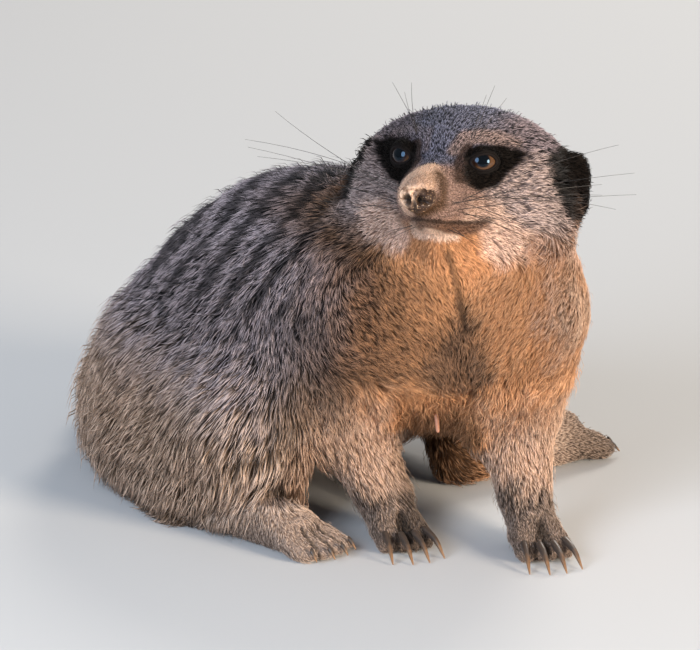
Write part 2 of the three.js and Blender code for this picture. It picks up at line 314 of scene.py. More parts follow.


# Markings, the same on skin and coat, with painted light and shade among them.

# Colours of each kind of hair: at its root and along it, then at its tip, and how
# much its tips differ from one to the next.
pelage = {
    "grizzle": ((0.011, 0.009, 0.009), (0.42, 0.345, 0.355), 1.0),
    # grey hair, painted darker and bluer as if in the shade of the sky
    "crown": ((0.011, 0.012, 0.018), (0.27, 0.275, 0.38), 0.92),
    "temple": ((0.014, 0.012, 0.014), (0.32, 0.255, 0.285), 0.92),
    "cheek": ((0.17, 0.125, 0.115), (0.60, 0.47, 0.44), 0.42),
    "warm": ((0.42, 0.195, 0.088), (0.66, 0.345, 0.17), 0.2),
    "russet": ((0.026, 0.013, 0.007), (0.25, 0.13, 0.070), 0.8),
    "cream": ((0.16, 0.100, 0.062), (0.69, 0.485, 0.355), 0.66),
    "limb": ((0.37, 0.232, 0.157), (0.65, 0.45, 0.34), 0.2),
    "foot": ((0.24, 0.165, 0.125), (0.58, 0.435, 0.35), 0.22),
    "gold": ((0.40, 0.235, 0.15), (0.80, 0.56, 0.43), 0.4),
    # painted light on the right side of the snout
    "snoutLight": ((0.62, 0.39, 0.27), (1.0, 0.74, 0.56), 0.3),
    # painted shadow down the left side of the bridge
    "bridgeShade": ((0.055, 0.027, 0.013), (0.20, 0.105, 0.055), 0.4),
    "jowl": ((0.44, 0.28, 0.21), (0.98, 0.72, 0.60), 0.32),
    "brow": ((0.060, 0.040, 0.036), (0.50, 0.36, 0.32), 0.85),
    "muzzle": ((0.17, 0.100, 0.078), (0.54, 0.36, 0.30), 0.6),
    "chin": ((0.62, 0.43, 0.33), (1.0, 0.80, 0.66), 0.35),
    "lip": ((0.060, 0.030, 0.020), (0.30, 0.165, 0.11), 0.5),
    "tuft": ((0.022, 0.012, 0.007), (0.21, 0.12, 0.075), 0.9),
    "paw": ((0.05, 0.034, 0.026), (0.27, 0.20, 0.16), 0.5),
    "umber": ((0.020, 0.010, 0.007), (0.085, 0.044, 0.028), 0.5),
    "dark": ((0.0025, 0.0018, 0.0015), (0.012, 0.0080, 0.0062), 0.6),
}
# The kinds of hair that lie over the grizzled, in order, and the marks that darken them,
# or below 0 lighten them, by this much: the band is the coat's own, the groove, mouth,
# knee and under marks are painted shade, and the throat's is painted light. The black
# comes last.
overlaid = [
    "cream", "russet", "warm", "limb", "foot", "tuft", "paw", "crown", "temple", "cheek",
    "muzzle", "jowl", "brow", "chin", "gold", "bridgeShade", "snoutLight", "umber", "lip",
]
shading = {
    "band": 0.78, "groove": 0.72, "mouth": 0.7, "knee": 0.4, "throat": -0.22, "under": 0.54,
}


def fade(value, full, none):  # 1 at full, 0 at none, smooth between
    t = np.clip((np.asarray(value, float) - none) / (full - none), 0, 1)
    return t * t * (3 - 2 * t)


def farFrom(points, stops):  # distance to a line through stops, whose radius may change
    best = np.full(len(points), 1e9)
    for a, b in zip(stops[:-1], stops[1:]):
        radii = (a[-1], b[-1]) if len(a) > points.shape[1] else (0, 0)
        start = np.array(a[: points.shape[1]], float)
        along = np.array(b[: points.shape[1]], float) - start
        t = np.clip((points - start) @ along / (along @ along), 0, 1)
        gap = np.linalg.norm(points - start - t[:, None] * along, axis=1)
        best = np.minimum(best, gap - radii[0] - t * (radii[1] - radii[0]))
    return best


def outlineGap(flat, corners):  # distance to a closed outline, negative inside it
    gap = farFrom(flat, [*corners, corners[0]])
    inside = np.zeros(len(flat), bool)
    for (ax, az), (bx, bz) in zip(corners, [*corners[1:], corners[0]]):
        crosses = (az > flat[:, 1]) != (bz > flat[:, 1])
        at = ax + (flat[:, 1] - az) * (bx - ax) / (bz - az if bz != az else 1)
        inside ^= crosses & (flat[:, 0] < at)
    return np.where(inside, -gap, gap)


def wobble(points, size, seed):  # soft noise between -1 and 1, from a few turned waves
    waves = np.random.default_rng(seed)
    total = np.zeros(len(points))
    for _ in range(7):
        way = waves.normal(size=3)
        way *= 2 * math.pi / (size * np.linalg.norm(way) * waves.uniform(0.7, 1.6))
        total += np.sin(points @ way + waves.uniform(0, 6.28))
    return total / 4


# In the head's own axes, mm, for the left side; the right side is its mirror image.
# Last in each stop is the radius there.
facePlan = {
    "patch": [  # outline in x, z
        (6.9, -0.6), (7.3, 3.2), (10.2, 4.9), (16, 4.8), (21, 3.6),
        (18.6, -1.5), (14.9, -6.4), (11.5, -8.1), (9.3, -6.9), (7.9, -3.6),
    ],
    "patchInner": [(7.4, 3.4, 0.9), (6.6, -0.8, 1.5), (8.0, -5.0, 1.1)],  # browner, to the nose
    "earFront": [  # outline in x, z of the black on the head before the ear
        (25.6, 7.5), (25.6, 4.2), (27, -2), (29, -7), (31, -13), (42, -17), (42, 14), (30, 11),
    ],
    "brow": [(4.4, 2.4, 0.9), (6.2, 6.0, 1.7), (11.5, 6.6, 1.5), (18, 5.6, 0.6)],  # x, z
    "bridge": [(0, -26, -6.5, 4.0), (0, -18, -4.4, 3.0)],
    "muzzle": [(0, -22, -11, 7), (6, -12, -10, 6), (9, -6, -13, 4)],
    "cheek": [(17, 0, -9, 5), (24, 8, -8, 8), (23, 14, -16, 9)],
    "chin": [(-5.5, -20.6, 1.4), (0, -20.6, 1.9), (3, -21.0, 1.0), (5.5, -21.4, 0.4)],  # x, z
    "mouth": [(0, -21.5, -17.4), (4.2, -18.0, -17.6), (8.5, -9.0, -17.2), (14.2, 0.5, -15.7)],
    "lip": [(0, -18.4, 0.7), (4.5, -18.9, 1.2), (9, -18.8, 1.4), (12.5, -17.0, 0.5)],  # x, z
    # on one side only: painted light on the snout's right side, painted shade down the bridge's
    # left side, and the jowl
    # painted light on the right side of the snout
    "snoutLight": [
        (-0.5, -15, -2.5, 1.2), (-1.5, -20, -4.5, 1.6), (-4.8, -21, -8, 2.0),
        (-5.6, -20, -12.5, 2.4), (-5.4, -20, -14.6, 1.8),
    ],
    # painted shadow down the left side of the bridge
    "bridgeShade": [
        (3.6, -19, -4.6, 0.3), (4.0, -20, -8, 1.1), (4.0, -20, -12.5, 1.5), (0.2, -22, -15.2, 1.2),
    ],
    "jowl": [(10, -6, -14, 1.2), (15, 1, -17, 3.0), (17, 3, -22, 4.0)],
}
bodyPlan = {
    # the groove down the chest, painted with shade
    "groove": [(26.6, -82.4, 89), (30.0, -84.5, 76.5), (31.4, -85.6, 68)],
    "tuft": [(31.4, -85.6, 68, 1.5), (30, -83.0, 60, 5), (28.8, -81, 54, 6.5)],
    "ruff": [  # pale hair below the cheeks, on the right and on the left
        [(-3, -58, 95, 2), (4, -65, 94, 3)],
        [(44, -81, 92, 2), (52, -77, 93, 4), (60, -64, 92, 5), (63, -54, 84, 4)],
    ],
    "pale": [(4, -65, 95, 2), (8, -69, 94, 4), (12, -72, 92.5, 3)],  # below the chin, on the right: pale hair, made paler still as painted light where the head shades it
    # warm hair down the throat, also painted lighter as painted light
    "throat": [(15, -76, 88, 2), (24, -80, 91, 3), (32, -83, 87, 5)],
    # painted shade at the front of the right haunch
    "knee": [(-14, -68, 63, 3), (-10, -71, 52, 7), (-16, -72, 38, 7)],
    "smoky": [(26, -82, 62), (14, -80, 56), (2, -76, 58)],  # darker hair beside the tuft
    "crease": [(1, -70, 50), (5, -67, 38), (9, -62, 27)],  # behind the right upper arm
    "back": (-16.4, -17.9, 54.5),  # a place on the midline of the back
    "forward": (0.81, -0.58, 0.0),  # along that midline, to the head
    "bandGap": 7.4,
    "bandSlant": (0.75, -0.29, -0.57),  # how the bands follow on ahead, aside and upwards
    "tailEnd": (50, 38, 5),
    "grain": 6,  # size of the soft noise along the edges of the markings
}


def onLeft(places):  # as if they all lay on the left
    return np.column_stack([np.abs(places[:, 0]), places[:, 1:]])


def headAxes(points):  # in the head's axes: as they are, as if on its left, and from in front
    head = intoHead(points)
    folded = onLeft(head)
    return head, folded, folded[:, ::2]


# In the functions below, soft is a soft noise that makes the marks' edges wander. Each fade
# is 1 at its first number and 0 at its second, and these are mostly in mm.
def nearTo(places, stops, wander, full, none):  # 1 on a line, fading out beside it
    return fade(farFrom(places, stops) + wander, full, none)


def bodyMarks(points, zones, soft):  # warm in front, cream on the legs and haunches
    x, y, z = points.T
    mark = {}
    edge = x - 1 + 0.30 * (y + 72) - 0.14 * (z - 76) + 2.2 * soft  # from the front's right side
    edge += 8 * fade(z, 92, 79)
    far = x - 60 - 0.5 * (y + 70) + 2 * soft  # past the neck's left side
    front = fade(y - 0.35 * np.abs(x - 28) + 3 * soft, -62, -38)
    belly = fade(z + 2 * soft, 44, 54) * fade(x, 6, -4) * fade(y, -14, 6)
    mark["russet"] = fade(edge, 6, -20) * front * fade(z, 100, 110) * fade(far, -20, -8)
    mark["russet"] = np.maximum(mark["russet"], belly)
    warm = fade(edge, 24, 2) * front * fade(far, -8, 5)
    warm *= 1 - 0.55 * nearTo(points, bodyPlan["smoky"], 2 * soft, 1, 12)
    warm = np.maximum(warm, belly * (0.25 + 0.75 * fade(y, -46, -32)))

    leg = fade(x - 0.25 * (z - 10) + 2 * soft, -22, -42) * fade(z + 3 * soft, 30, 52)
    low = fade(z + 4 * soft + 0.2 * (x + 60), 26, 60)
    aside = fade(far, 1, -12) * fade(y, -30, -10) * fade(z, 48, 38)  # pale on the neck's left
    cream = np.maximum.reduce([0.88 * low, 0.9 * leg, 0.85 * aside])
    mark["cream"] = cream * (1 - 0.6 * warm)
    # warm hair on the throat and belly, which the shading table lightens as painted light
    mark["throat"] = np.maximum(nearTo(points, bodyPlan["throat"], 2 * soft, 0, 9), belly)
    mark["warm"] = np.maximum(warm, 0.9 * mark["throat"] * fade(belly, 0.1, 0.5))

    onArms = fade(zones["limb"] + zones["paw"], 0.6, 0.1)
    arms = fade(np.abs(x - 24) + 0.25 * (z - 45), 13, 8) * fade(y, -56, -46) * fade(x, -12, -20)
    mark["limb"] = np.maximum(arms, onArms) * fade(z + 4 * soft, 27, 53)
    lower = z + 2 * soft - 3.5 * fade(x, 44, 34)  # reaches higher on the left paw
    mark["foot"] = fade(zones["foot"], 0.6, 0.1)
    leftFoot = 0.75 * mark["foot"] * fade(x + 2 * soft, 72, 60)
    mark["paw"] = np.maximum(0.9 * onArms * fade(lower, 10, 16), leftFoot)
    # painted shade under the belly, over the left hind leg between the forelegs
    mark["under"] = fade(np.abs(x - 25), 9, 14) * fade(z + 2 * soft, 29, 44) * fade(y, -12, -2)
    # painted shade at the front of the right haunch
    mark["knee"] = nearTo(points, bodyPlan["knee"], 2 * soft, -1, 8)
    mark["tuft"] = 0.8 * nearTo(points, bodyPlan["tuft"], 2 * soft, -1, 7)
    # painted shade in the groove down the chest and between the toes
    toes = np.min([farFrom(points[:, :2], line) for line in toeCreases()], axis=0)
    groove = nearTo(points, bodyPlan["groove"], 0, 0.3, 2.0)
    mark["groove"] = np.maximum(groove, fade(toes, 0.3, 1.0) * fade(z, 12, 16))
    return mark


def headMarks(points, soft, onHead):
    head, folded, flat = headAxes(points)
    mark = {}
    # the grey crown, whose colour holds painted sky shade
    mark["crown"] = onHead * fade(head[:, 2] + soft, -1, -8)
    mark["temple"] = mark["crown"] * fade(folded[:, 0] + soft, 17, 6)
    ruff = [0.4 * nearTo(points, line, 1.5 * soft, 0, 7) for line in bodyPlan["ruff"]]
    cheek = onHead * nearTo(folded, facePlan["cheek"], 1.5 * soft, 0, 8)
    mark["cheek"] = np.maximum.reduce([cheek, *ruff])
    brow = 0.85 * onHead * nearTo(flat, facePlan["brow"], 0.5 * soft, -0.3, 1.8)
    fainter = 0.35 + 0.65 * fade(head[:, 0], 4, -6)  # on the right
    mark["brow"] = brow * fade(head[:, 1], 12, 20) * fainter
    muzzle = onHead * nearTo(folded, facePlan["muzzle"], soft, 0, 5)
    mark["muzzle"] = muzzle * fade(head[:, 2] - 0.25 * (head[:, 1] + 10), -2, 1)
    mark["gold"] = onHead * nearTo(folded, facePlan["bridge"], 0.5 * soft, 0, 2.6)
    # painted light on the right side of the snout
    mark["snoutLight"] = onHead * nearTo(head, facePlan["snoutLight"], 0.5 * soft, 0, 2.4)
    # painted shadow down the left side of the bridge
    mark["bridgeShade"] = onHead * nearTo(head, facePlan["bridgeShade"], 0.6 * soft, 0, 2.6)
    # pale jowl hair, and below the chin pale hair made paler as painted light
    mark["jowl"] = np.maximum(
        0.9 * nearTo(head, facePlan["jowl"], 1.2 * soft, 0, 5),
        0.95 * nearTo(points, bodyPlan["pale"], 1.2 * soft, 0, 5),
    )
    umber = 0.9 * onHead * nearTo(flat, facePlan["patchInner"], 0.3 * soft, 0, 1.2)
    mark["umber"] = umber * fade(head[:, 1], 0, 6)
    chin = nearTo(head[:, ::2], facePlan["chin"], 0.5 * soft, 0, 1.6)
    mark["chin"] = chin * fade(head[:, 1], 3, 7)
    before = fade(head[:, 2], -23, -25.5) * fade(head[:, 1], 3, 7)
    before *= 0.3 + 0.7 * fade(head[:, 0], -1, -6)
    mark["lip"] = 0.9 * before * nearTo(flat, facePlan["lip"], 0.3 * soft, 0, 1.2)
    # painted shade along the mouth's line
    mouthLine = [stop[::2] for stop in facePlan["mouth"]]
    mark["mouth"] = before * nearTo(flat, mouthLine, 0.2 * soft, 0.1, 0.9)
    return mark


def blackMark(points, zones, soft, onHead):  # round the eyes, on the ears and the tail's end
    head, folded, flat = headAxes(points)
    outer = np.where(head[:, 0] < 0, 0.24, 0) * np.maximum(folded[:, 0] - 12, 0)
    patch = outlineGap(flat - np.column_stack([outer, 0 * outer]), facePlan["patch"])  # right wider
    black = fade(patch + 0.5 * soft, -0.4, 0.9) * fade(head[:, 1], 12, 18) * onHead
    earFront = fade(outlineGap(flat, facePlan["earFront"]) + 0.8 * soft, -0.5, 1.2)
    tipGap = np.linalg.norm(points - bodyPlan["tailEnd"], axis=1)
    return np.maximum.reduce([
        black,
        earFront * fade(head[:, 1], 7, 4) * onHead,
        fade(zones["ear"], 0.35, 0.1),
        zones["tip"] * fade(tipGap + 3 * soft, 30, 42),
    ])


def bandMark(points, zones, onHead):  # dark bands across the back, down to the flank
    off = points - np.array(bodyPlan["back"])
    ahead = off @ np.array(bodyPlan["forward"])
    aside = np.abs(off[:, 0] * 0.58 + off[:, 1] * 0.81)
    on, out, up = bodyPlan["bandSlant"]
    step = on * ahead + out * aside + up * off[:, 2] + 0.9 * wobble(points, 22, 5)
    band = 0.5 + 0.5 * np.cos(2 * math.pi * step / bodyPlan["bandGap"])
    window = fade(points[:, 2], 70, 54) * fade(ahead, 20, 38) * (1 - onHead) * (1 - zones["ear"])
    return fade(band + 0.42 * wobble(points, 3.4, 8), 0.80, 0.46) * window


def markings(points, zones):  # how much of each mark there is at these places, given in mm
    soft = wobble(points, bodyPlan["grain"], 3)
    x, y, z = headAxes(points)[1].T
    onHead = fade(z, -15, -25) * fade(y, 34, 50) * fade(x, 31, 40)
    return {
        **bodyMarks(points, zones, soft),
        **headMarks(points, soft, onHead),
        "dark": blackMark(points, zones, soft, onHead),
        "band": bandMark(points, zones, onHead),
    }


# The coat's depth, length and lie.

# For each solid of flesh: how deep the coat is over the skin and how long its tufts
# are, mm, how much they stray, degrees, and how far they gather into locks.
coatPlan = {
    "head": (1.7, 4.8, 13, 0.25),
    "ear_": (0.9, 4.0, 24, 0.1),
    "neck": (2.4, 7.5, 13, 0.3),
    "trunk": (3.4, 9.8, 13, 0.3),
    "hind_left_thigh": (3.2, 9, 10, 0.25),
    "hind_left_shank": (1.9, 5.5, 10, 0.2),
    "thigh": (4.0, 15.5, 9, 0.25),
    "shank": (3.4, 17.5, 9, 0.25),
    "forearm": (1.6, 5.4, 10, 0.25),
    "paw": (0.7, 2.6, 14, 0.2),
    "foot": (0.9, 3.0, 12, 0.2),
    "tail_base": (2.4, 9, 12, 0.4),
    "tail_middle": (2.0, 8, 12, 0.4),
    "tail_tip": (1.4, 7, 12, 0.4),
}
evenOut = {"plan": 40, "zones": 24, "closeness": 30, "normals": 3}  # rounds of evening out


def coatOf(node):  # the plan's line for a solid
    return next(line for part, line in coatPlan.items() if part in node)


# Strokes of the brush, each from the first place to the last, mm. Those on the head
# are in its own axes for the left side, and are mirrored.
faceStrokes = [
    [(1, -22, -5), (1, -13, -2), (1.5, -6, 3), (2, 4, 9), (3, 20, 14), (4, 42, 10)],
    [(5, -20, -8), (9, -10, -8), (15, -1, -7), (22, 7, -6), (30, 20, -6)],
    [(5, -21, -13), (10, -11, -14), (17, -1, -14), (25, 11, -14), (31, 22, -16)],
    [(8, -6, 5), (13, 2, 8), (20, 12, 8), (27, 24, 6)],
    [(3, -8, 4), (9, 1, 10), (16, 14, 12), (22, 30, 10)],
    [(1, -18, -19), (3, -10, -21), (5, -2, -24)],
    [(10, -6, -19), (16, 3, -21), (22, 12, -24)],
    [(30, 24, 0), (33, 32, -2), (32, 38, -6)],
]
bodyStrokes = [
    [(34, -36, 104), (24, -24, 99), (6, -18, 98), (-15, -8, 93), (-35, 2, 80), (-60, 10, 55)],
    [(-60, 10, 55), (-74, 16, 34), (-72, 24, 16)],
    [(2, -68, 93), (10, -77, 88), (20, -83, 82), (29, -85, 72)],
    [(-2, -70, 80), (8, -78, 74), (19, -83, 66), (27, -84, 56), (28, -80, 46)],
    [(57, -70, 93), (48, -78, 88), (39, -83, 80), (32, -85, 71)],
    [(62, -62, 84), (55, -74, 76), (45, -80, 66), (36, -83, 56), (31, -81, 46)],
    [(64, -54, 74), (61, -64, 60), (54, -74, 48)],
    [(29, -85, 68), (29, -84, 60), (28, -81, 50), (26, -74, 38)],
    [(-6, -62, 92), (-12, -66, 78), (-17, -68, 62), (-14, -66, 42)],
    [(-26, -68, 62), (-12, -73, 56), (2, -77, 54), (14, -80, 51)],
    [(14, -80, 60), (24, -83, 54), (29, -82, 46)],
    [(-8, -68, 48), (-6, -64, 36), (0, -60, 24), (8, -66, 12), (14, -76, 5)],
    [(4, -70, 48), (8, -66, 36), (10, -62, 24)],
    [(24, -76, 46), (23, -70, 36), (22, -62, 26)],
    [(48, -76, 56), (46, -74, 44), (42, -64, 30), (46, -64, 18)],
    [(-4, -50, 96), (-24, -46, 86), (-42, -42, 72)],
    [(-20, -28, 92), (-44, -20, 80), (-64, -8, 62), (-78, 4, 44)],
    [(-16, -68, 62), (-30, -66, 46), (-38, -62, 30)],
    [(-30, -38, 86), (-50, -32, 74), (-68, -22, 58), (-78, -12, 42)],
    [(-34, -60, 56), (-52, -54, 43), (-66, -42, 26), (-72, -36, 8)],
    [(-22, -70, 42), (-27, -73, 28), (-31, -74, 15), (-33, -75, 6)],
    [(-34, -70, 42), (-40, -70, 28), (-46, -66, 14), (-50, -64, 4)],
    [(-66, -30, 40), (-76, -20, 22), (-80, -14, 6)],
    [(-20, -71, 30), (-24, -74, 18), (-28, -77, 6)],
    [(-22, -66, 12), (-10, -76, 9), (0, -84, 5)],
    [(46, -44, 52), (48, -60, 26), (52, -74, 11), (57, -88, 5)],
    [(20, -72, 40), (16, -50, 28), (10, -20, 22)],
    [(60, -50, 90), (62, -44, 68), (56, -34, 48), (48, -28, 34)],
    [(40, -28, 96), (44, -16, 76), (40, -2, 56), (34, 10, 38)],
    [(12, -10, 94), (14, 8, 74), (10, 22, 48), (6, 30, 24), (4, 32, 6)],
    [(-30, 12, 78), (-34, 26, 54), (-34, 34, 28), (-34, 38, 8)],
    [(20, 22, 44), (34, 16, 32), (40, 4, 18), (36, -8, 10)],
    [(34, -14, 12), (50, -4, 14), (66, 10, 9), (76, 18, 5)],
    [(-66, 22, 16), (-70, 40, 14), (-62, 62, 12), (-44, 80, 11), (-20, 91, 10)],
    [(-20, 91, 10), (8, 90, 9), (28, 80, 8), (42, 64, 7), (49, 46, 5)],
]


def brushStrokes():  # their middles and ways
    lines = [outOfHead(line) for line in faceStrokes]
    lines += [outOfHead(np.array(line) * (-1, 1, 1)) for line in faceStrokes]
    lines += [np.array(line, float) for line in bodyStrokes]
    middles = np.concatenate([(line[1:] + line[:-1]) / 2 for line in lines])
    ways = np.concatenate([line[1:] - line[:-1] for line in lines])
    return middles, unit(ways)


def unit(vectors):
    return vectors / np.maximum(np.linalg.norm(vectors, axis=1, keepdims=True), 1e-9)


def brushed(points, normals):  # which way the coat lies at these places
    middles, ways = brushStrokes()
    total = np.zeros_like(points)
    for middle, way in zip(middles, ways):
        near = ((points - middle) ** 2).sum(1)
        total += way / (near + 12)[:, None] ** 2
    total = unit(total)
    return unit(total - normals * (total * normals).sum(1, keepdims=True))


# The skin, one closed surface under the coat.

mergeGap = 0.02 * mm
skinPlan = {
    "grow": 0.45 * mm,  # closes the thin cuts between the solids
    "voxel": 1.3 * mm,
    "smooth": (8, 3, 1),  # rounds of smoothing: at first, once sunk and once made finer
    "face": (4, 26, -24),  # finer in front of y, within x and above z, in head axes
    "nearEye": 8.5,  # finer again this near to an eye's middle, mm
    "floorClear": 0.4,  # how far the skin stays above the floor, mm
}
eyePlan = {
    "radius": 4.7,
    "gaze": 28,  # degrees outwards
    "inward": 6,  # how far the eyeball is turned back in
    "upward": 0.05,  # and up
    "wide": 48,  # half angles of the opening between the lids
    "high": 27,
    "drop": 2.5,  # how far the opening's middle lies below the eye's, degrees
    "lid": 0.45,  # radius of the rim of the lids, mm
    "tilt": 0.2,  # how far the outer corners rise
    "lit": (0.80, -0.20, -0.57),  # the side where the iris is painted lit, in head axes
    "edge": 1.14,  # where the skin goes under the lids, in openings
    "bare": (1.22, 1.30),  # and where the hair begins
    "fold": (0.35, 1.68, 0.12),  # depth, place and width of the fold over the upper lid
    "cornea": 0.055,  # how far it bulges, of the radius
}


def applyModifier(body, kind, **settings):
    modifier = body.modifiers.new(kind.lower(), kind)
    for key, value in settings.items():
        setattr(modifier, key, value)
    bpy.ops.object.modifier_apply(modifier=modifier.name)


def pointsOf(mesh):  # mm
    flat = np.empty(len(mesh.vertices) * 3, np.float32)
    mesh.vertices.foreach_get("co", flat)
    return flat.reshape(-1, 3).astype(float) / mm


def setPoints(mesh, points):
    mesh.vertices.foreach_set("co", (points * mm).astype(np.float32).ravel())
    mesh.update()


def normalsOf(mesh):
    flat = np.empty(len(mesh.vertices) * 3, np.float32)
    mesh.vertex_normals.foreach_get("vector", flat)
    return flat.reshape(-1, 3).astype(float)


def spread(mesh, values, times):  # evens values out over the mesh
    pairs = np.empty(len(mesh.edges) * 2, np.int64)
    mesh.edges.foreach_get("vertices", pairs)
    a, b = pairs.reshape(-1, 2).T
    count = np.bincount(np.concatenate([a, b]), minlength=len(values))
    for _ in range(times):
        sums = np.column_stack([
            np.bincount(np.concatenate([a, b]), np.concatenate([column[b], column[a]]), len(values))
            for column in values.T
        ])
        values = (values + sums / count[:, None]) / 2
    return values


def planAt(mesh, node):  # the coat's plan at each point, going over from solid to solid
    plan = np.array([coatOf(fleshNodes[n]) for n in node], float)
    return spread(mesh, plan, evenOut["plan"])


def nearestSolid(points):  # which solid of flesh each place belongs to
    corners, faces, owner = [], [], []
    for n, name in enumerate(fleshNodes):
        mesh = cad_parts[name].data
        start = len(corners)
        corners += [v.co[:] for v in mesh.vertices]
        faces += [[start + i for i in face.vertices] for face in mesh.polygons]
        owner += [n] * len(mesh.polygons)
    tree = BVHTree.FromPolygons(corners, faces)
    return np.array([owner[tree.find_nearest(p)[2]] for p in (points * mm).tolist()])


def eyeAxes(side, inward=0):  # an eye's gaze and the way across it, in head axes
    turn = math.radians(eyePlan["gaze"] - inward) * sides[side]
    gaze = np.array([math.sin(turn), -math.cos(turn), 0])
    return gaze, np.array([math.cos(turn), math.sin(turn), 0])


def aroundEye(head, side):  # where places lie round an eye: 1 at the lids' edge, and how far out
    gaze, across = eyeAxes(side)
    out = head - intoHead(eyeMiddles[side])
    ahead = out @ gaze
    wide = np.degrees(np.arctan2(out @ across, ahead)) / eyePlan["wide"]
    high = (np.degrees(np.arctan2(out[:, 2], ahead)) + eyePlan["drop"]) / eyePlan["high"]
    rise = high - eyePlan["tilt"] * sides[side] * wide
    return np.sqrt(wide**2 + rise**2), np.linalg.norm(out, axis=1), out


nosePlan = {
    "sink": (-0.45, 0.1, -2.5),  # its middle, from the solid's, in head axes, mm
    "radii": (5.1, 4.2, 4.4),
    "nostril": (1.85, -3.4, -1.0),  # from the middle, on the left
    "nostrilSize": (1.05, 2.0, 1.45),
    "slit": (4.9, -1.6, -1.9),  # where its outer slit ends
    "wing": (3.6, -2.6, 0.5),  # the lobe over the slit
    "wingSize": (0.5, 1.1),  # how high it stands and its reach
    "deep": 2.2,  # of the nostrils
    "groove": (0.55, 0.42),  # depth and width of the groove down the middle
    "rim": (0.24, 1.6, 0.4),  # height, place and width of the nostrils' rims
    "bare": 0.93,  # share of its size inside which no hair grows
}
mouthPlan = {
    "groove": (0.9, 0.9),  # depth and width, mm
    "lips": (0.35, 2.2, 1.2),  # how much of that they stand out, how far off and how wide
    "fainter": 0.35,  # on the right
}


def fromNose(head, share):  # 1 on the nose's surface, shrunk to a share of its size
    middle = intoHead(noseMiddle) + nosePlan["sink"]
    return np.linalg.norm((head - middle) / (np.array(nosePlan["radii"]) * share), axis=1)


def bell(value, middle, width):  # 1 at the middle, dying away to both sides
    return np.exp(-(((value - middle) / width) ** 2))


def sculptFace(points, normals):
    head, folded, _ = headAxes(points)
    mouth = farFrom(folded, facePlan["mouth"])
    deep, wide = mouthPlan["groove"]
    high, off, lipWide = mouthPlan["lips"]
    groove = bell(mouth, 0, wide) - high * bell(mouth, off, lipWide)
    fainter = mouthPlan["fainter"]
    groove *= fainter + (1 - fainter) * fade(head[:, 0], -1, -6)
    points = points - normals * (deep * groove * (head[:, 1] < 3))[:, None]
    behind = 2.8 * fade(fromNose(head, 0.90), 0.75, 1.0)  # leaves room for the nose's pad
    points = points + headTurn[:, 1] * behind[:, None]
    for side in sides:
        head = intoHead(points)
        ring, far, out = aroundEye(head, side)
        rim, edge = eyePlan["radius"], eyePlan["edge"]
        socket = rim - 0.7 + 1.1 * fade(ring, edge, 0.98)  # inside the lids, then at their edge
        deep, place, wide = eyePlan["fold"]
        fold = deep * bell(ring, place, wide) * fade(out[:, 2], 0.8, -0.2)
        target = np.where(ring < edge, socket, np.maximum(far, rim + 0.75) - fold)
        reach = np.where(far < 11, fade(ring, 1.7, 2.4), 0)
        apart = far + (target - far) * reach
        apart = np.where(ring < edge, apart, np.maximum(apart, rim + 0.4))
        moved = out / far[:, None] * apart[:, None]
        points = outOfHead(moved + intoHead(eyeMiddles[side]))
    return points


armPlan = {"drawnIn": 4.4}  # the right arm's inner side, mm


def sculptArm(points):
    x, y, z = points.T
    share = fade(x, 16, 6) * fade(x, 20, 30) * fade(z, 44, 53) * fade(z, 20, 12) * fade(y, -50, -40)
    return points - np.array([1, 0, 0]) * (armPlan["drawnIn"] * share)[:, None]


bellyPlan = {
    "right": [(7, 49), (12.8, 21)],  # x and z of the line where the right arm's edge runs
    "left": [(37, 48), (32, 24)],
    "sink": 8.5,  # how far the belly lies behind the chest and the arms, mm
    "tuck": (3.0, 3),  # depth and width of the crease behind the right arm
}


def sculptBelly(points, normals):
    x, y, z = points.T
    gaps = []
    for side, sign in [("right", 1), ("left", -1)]:
        (ax, az), (bx, bz) = bellyPlan[side]
        gaps.append(sign * (x - (ax + (z - az) * (bx - ax) / (bz - az))))
    inside = fade(gaps[0], 2.5, -1.5) * fade(gaps[1], 2.5, -1.5)
    level = fade(z, 45, 52) * fade(z, 22, 14) * fade(y, -50, -38)
    points = points + np.array([0, 1, 0.1]) * (bellyPlan["sink"] * inside * level)[:, None]
    deep, wide = bellyPlan["tuck"]
    tuck = deep * bell(farFrom(points, bodyPlan["crease"]), 0, wide)
    return points - normals * (tuck * fade(y, -50, -38))[:, None]


toePlan = {"reach": 11, "deep": 2.0, "wide": 0.75}  # of the creases between the toes, mm


def toeCreases():  # lines between the toes in x and y, from the claws back over the foot
    lines = []
    for foot, nodes in claws.items():
        paw = pawMiddle(foot)[:2]
        roots = [middleOf(node)[:2] for node in nodes]
        for a, b in zip(roots[:-1], roots[1:]):
            gap = (a + b) / 2
            back = unit((paw - gap)[None])[0]
            lines.append([tuple(gap - back * 1.5), tuple(gap + back * toePlan["reach"])])
    return lines


def sculptToes(points, normals):
    near = np.min([farFrom(points[:, :2], line) for line in toeCreases()], axis=0)
    deep = toePlan["deep"] * bell(near, 0, toePlan["wide"]) * fade(points[:, 2], 12, 16)
    return points - normals * deep[:, None]


footPlan = {
    "line": [(-22, -64), (-8, -76), (0, -84)],  # x and y along the right hind foot
    "flatter": 0.34,  # by this share of its height
}


def sculptFoot(points):
    near = farFrom(points[:, :2], footPlan["line"])
    share = fade(near, 9, 15) * fade(points[:, 0], -16, -27) * fade(points[:, 2], 20, 27)
    points = points.copy()
    points[:, 2] *= 1 - footPlan["flatter"] * share
    return points


def smoothen(body, rounds):
    applyModifier(body, "SMOOTH", factor=0.5, iterations=rounds)


def refine(body, chosen):  # a finer mesh between the chosen points
    body.data.vertices.foreach_set("select", chosen)
    bpy.ops.object.mode_set(mode="EDIT")
    bpy.ops.mesh.select_mode(type="VERT")
    bpy.ops.mesh.subdivide(number_cuts=1)
    bpy.ops.object.mode_set(mode="OBJECT")


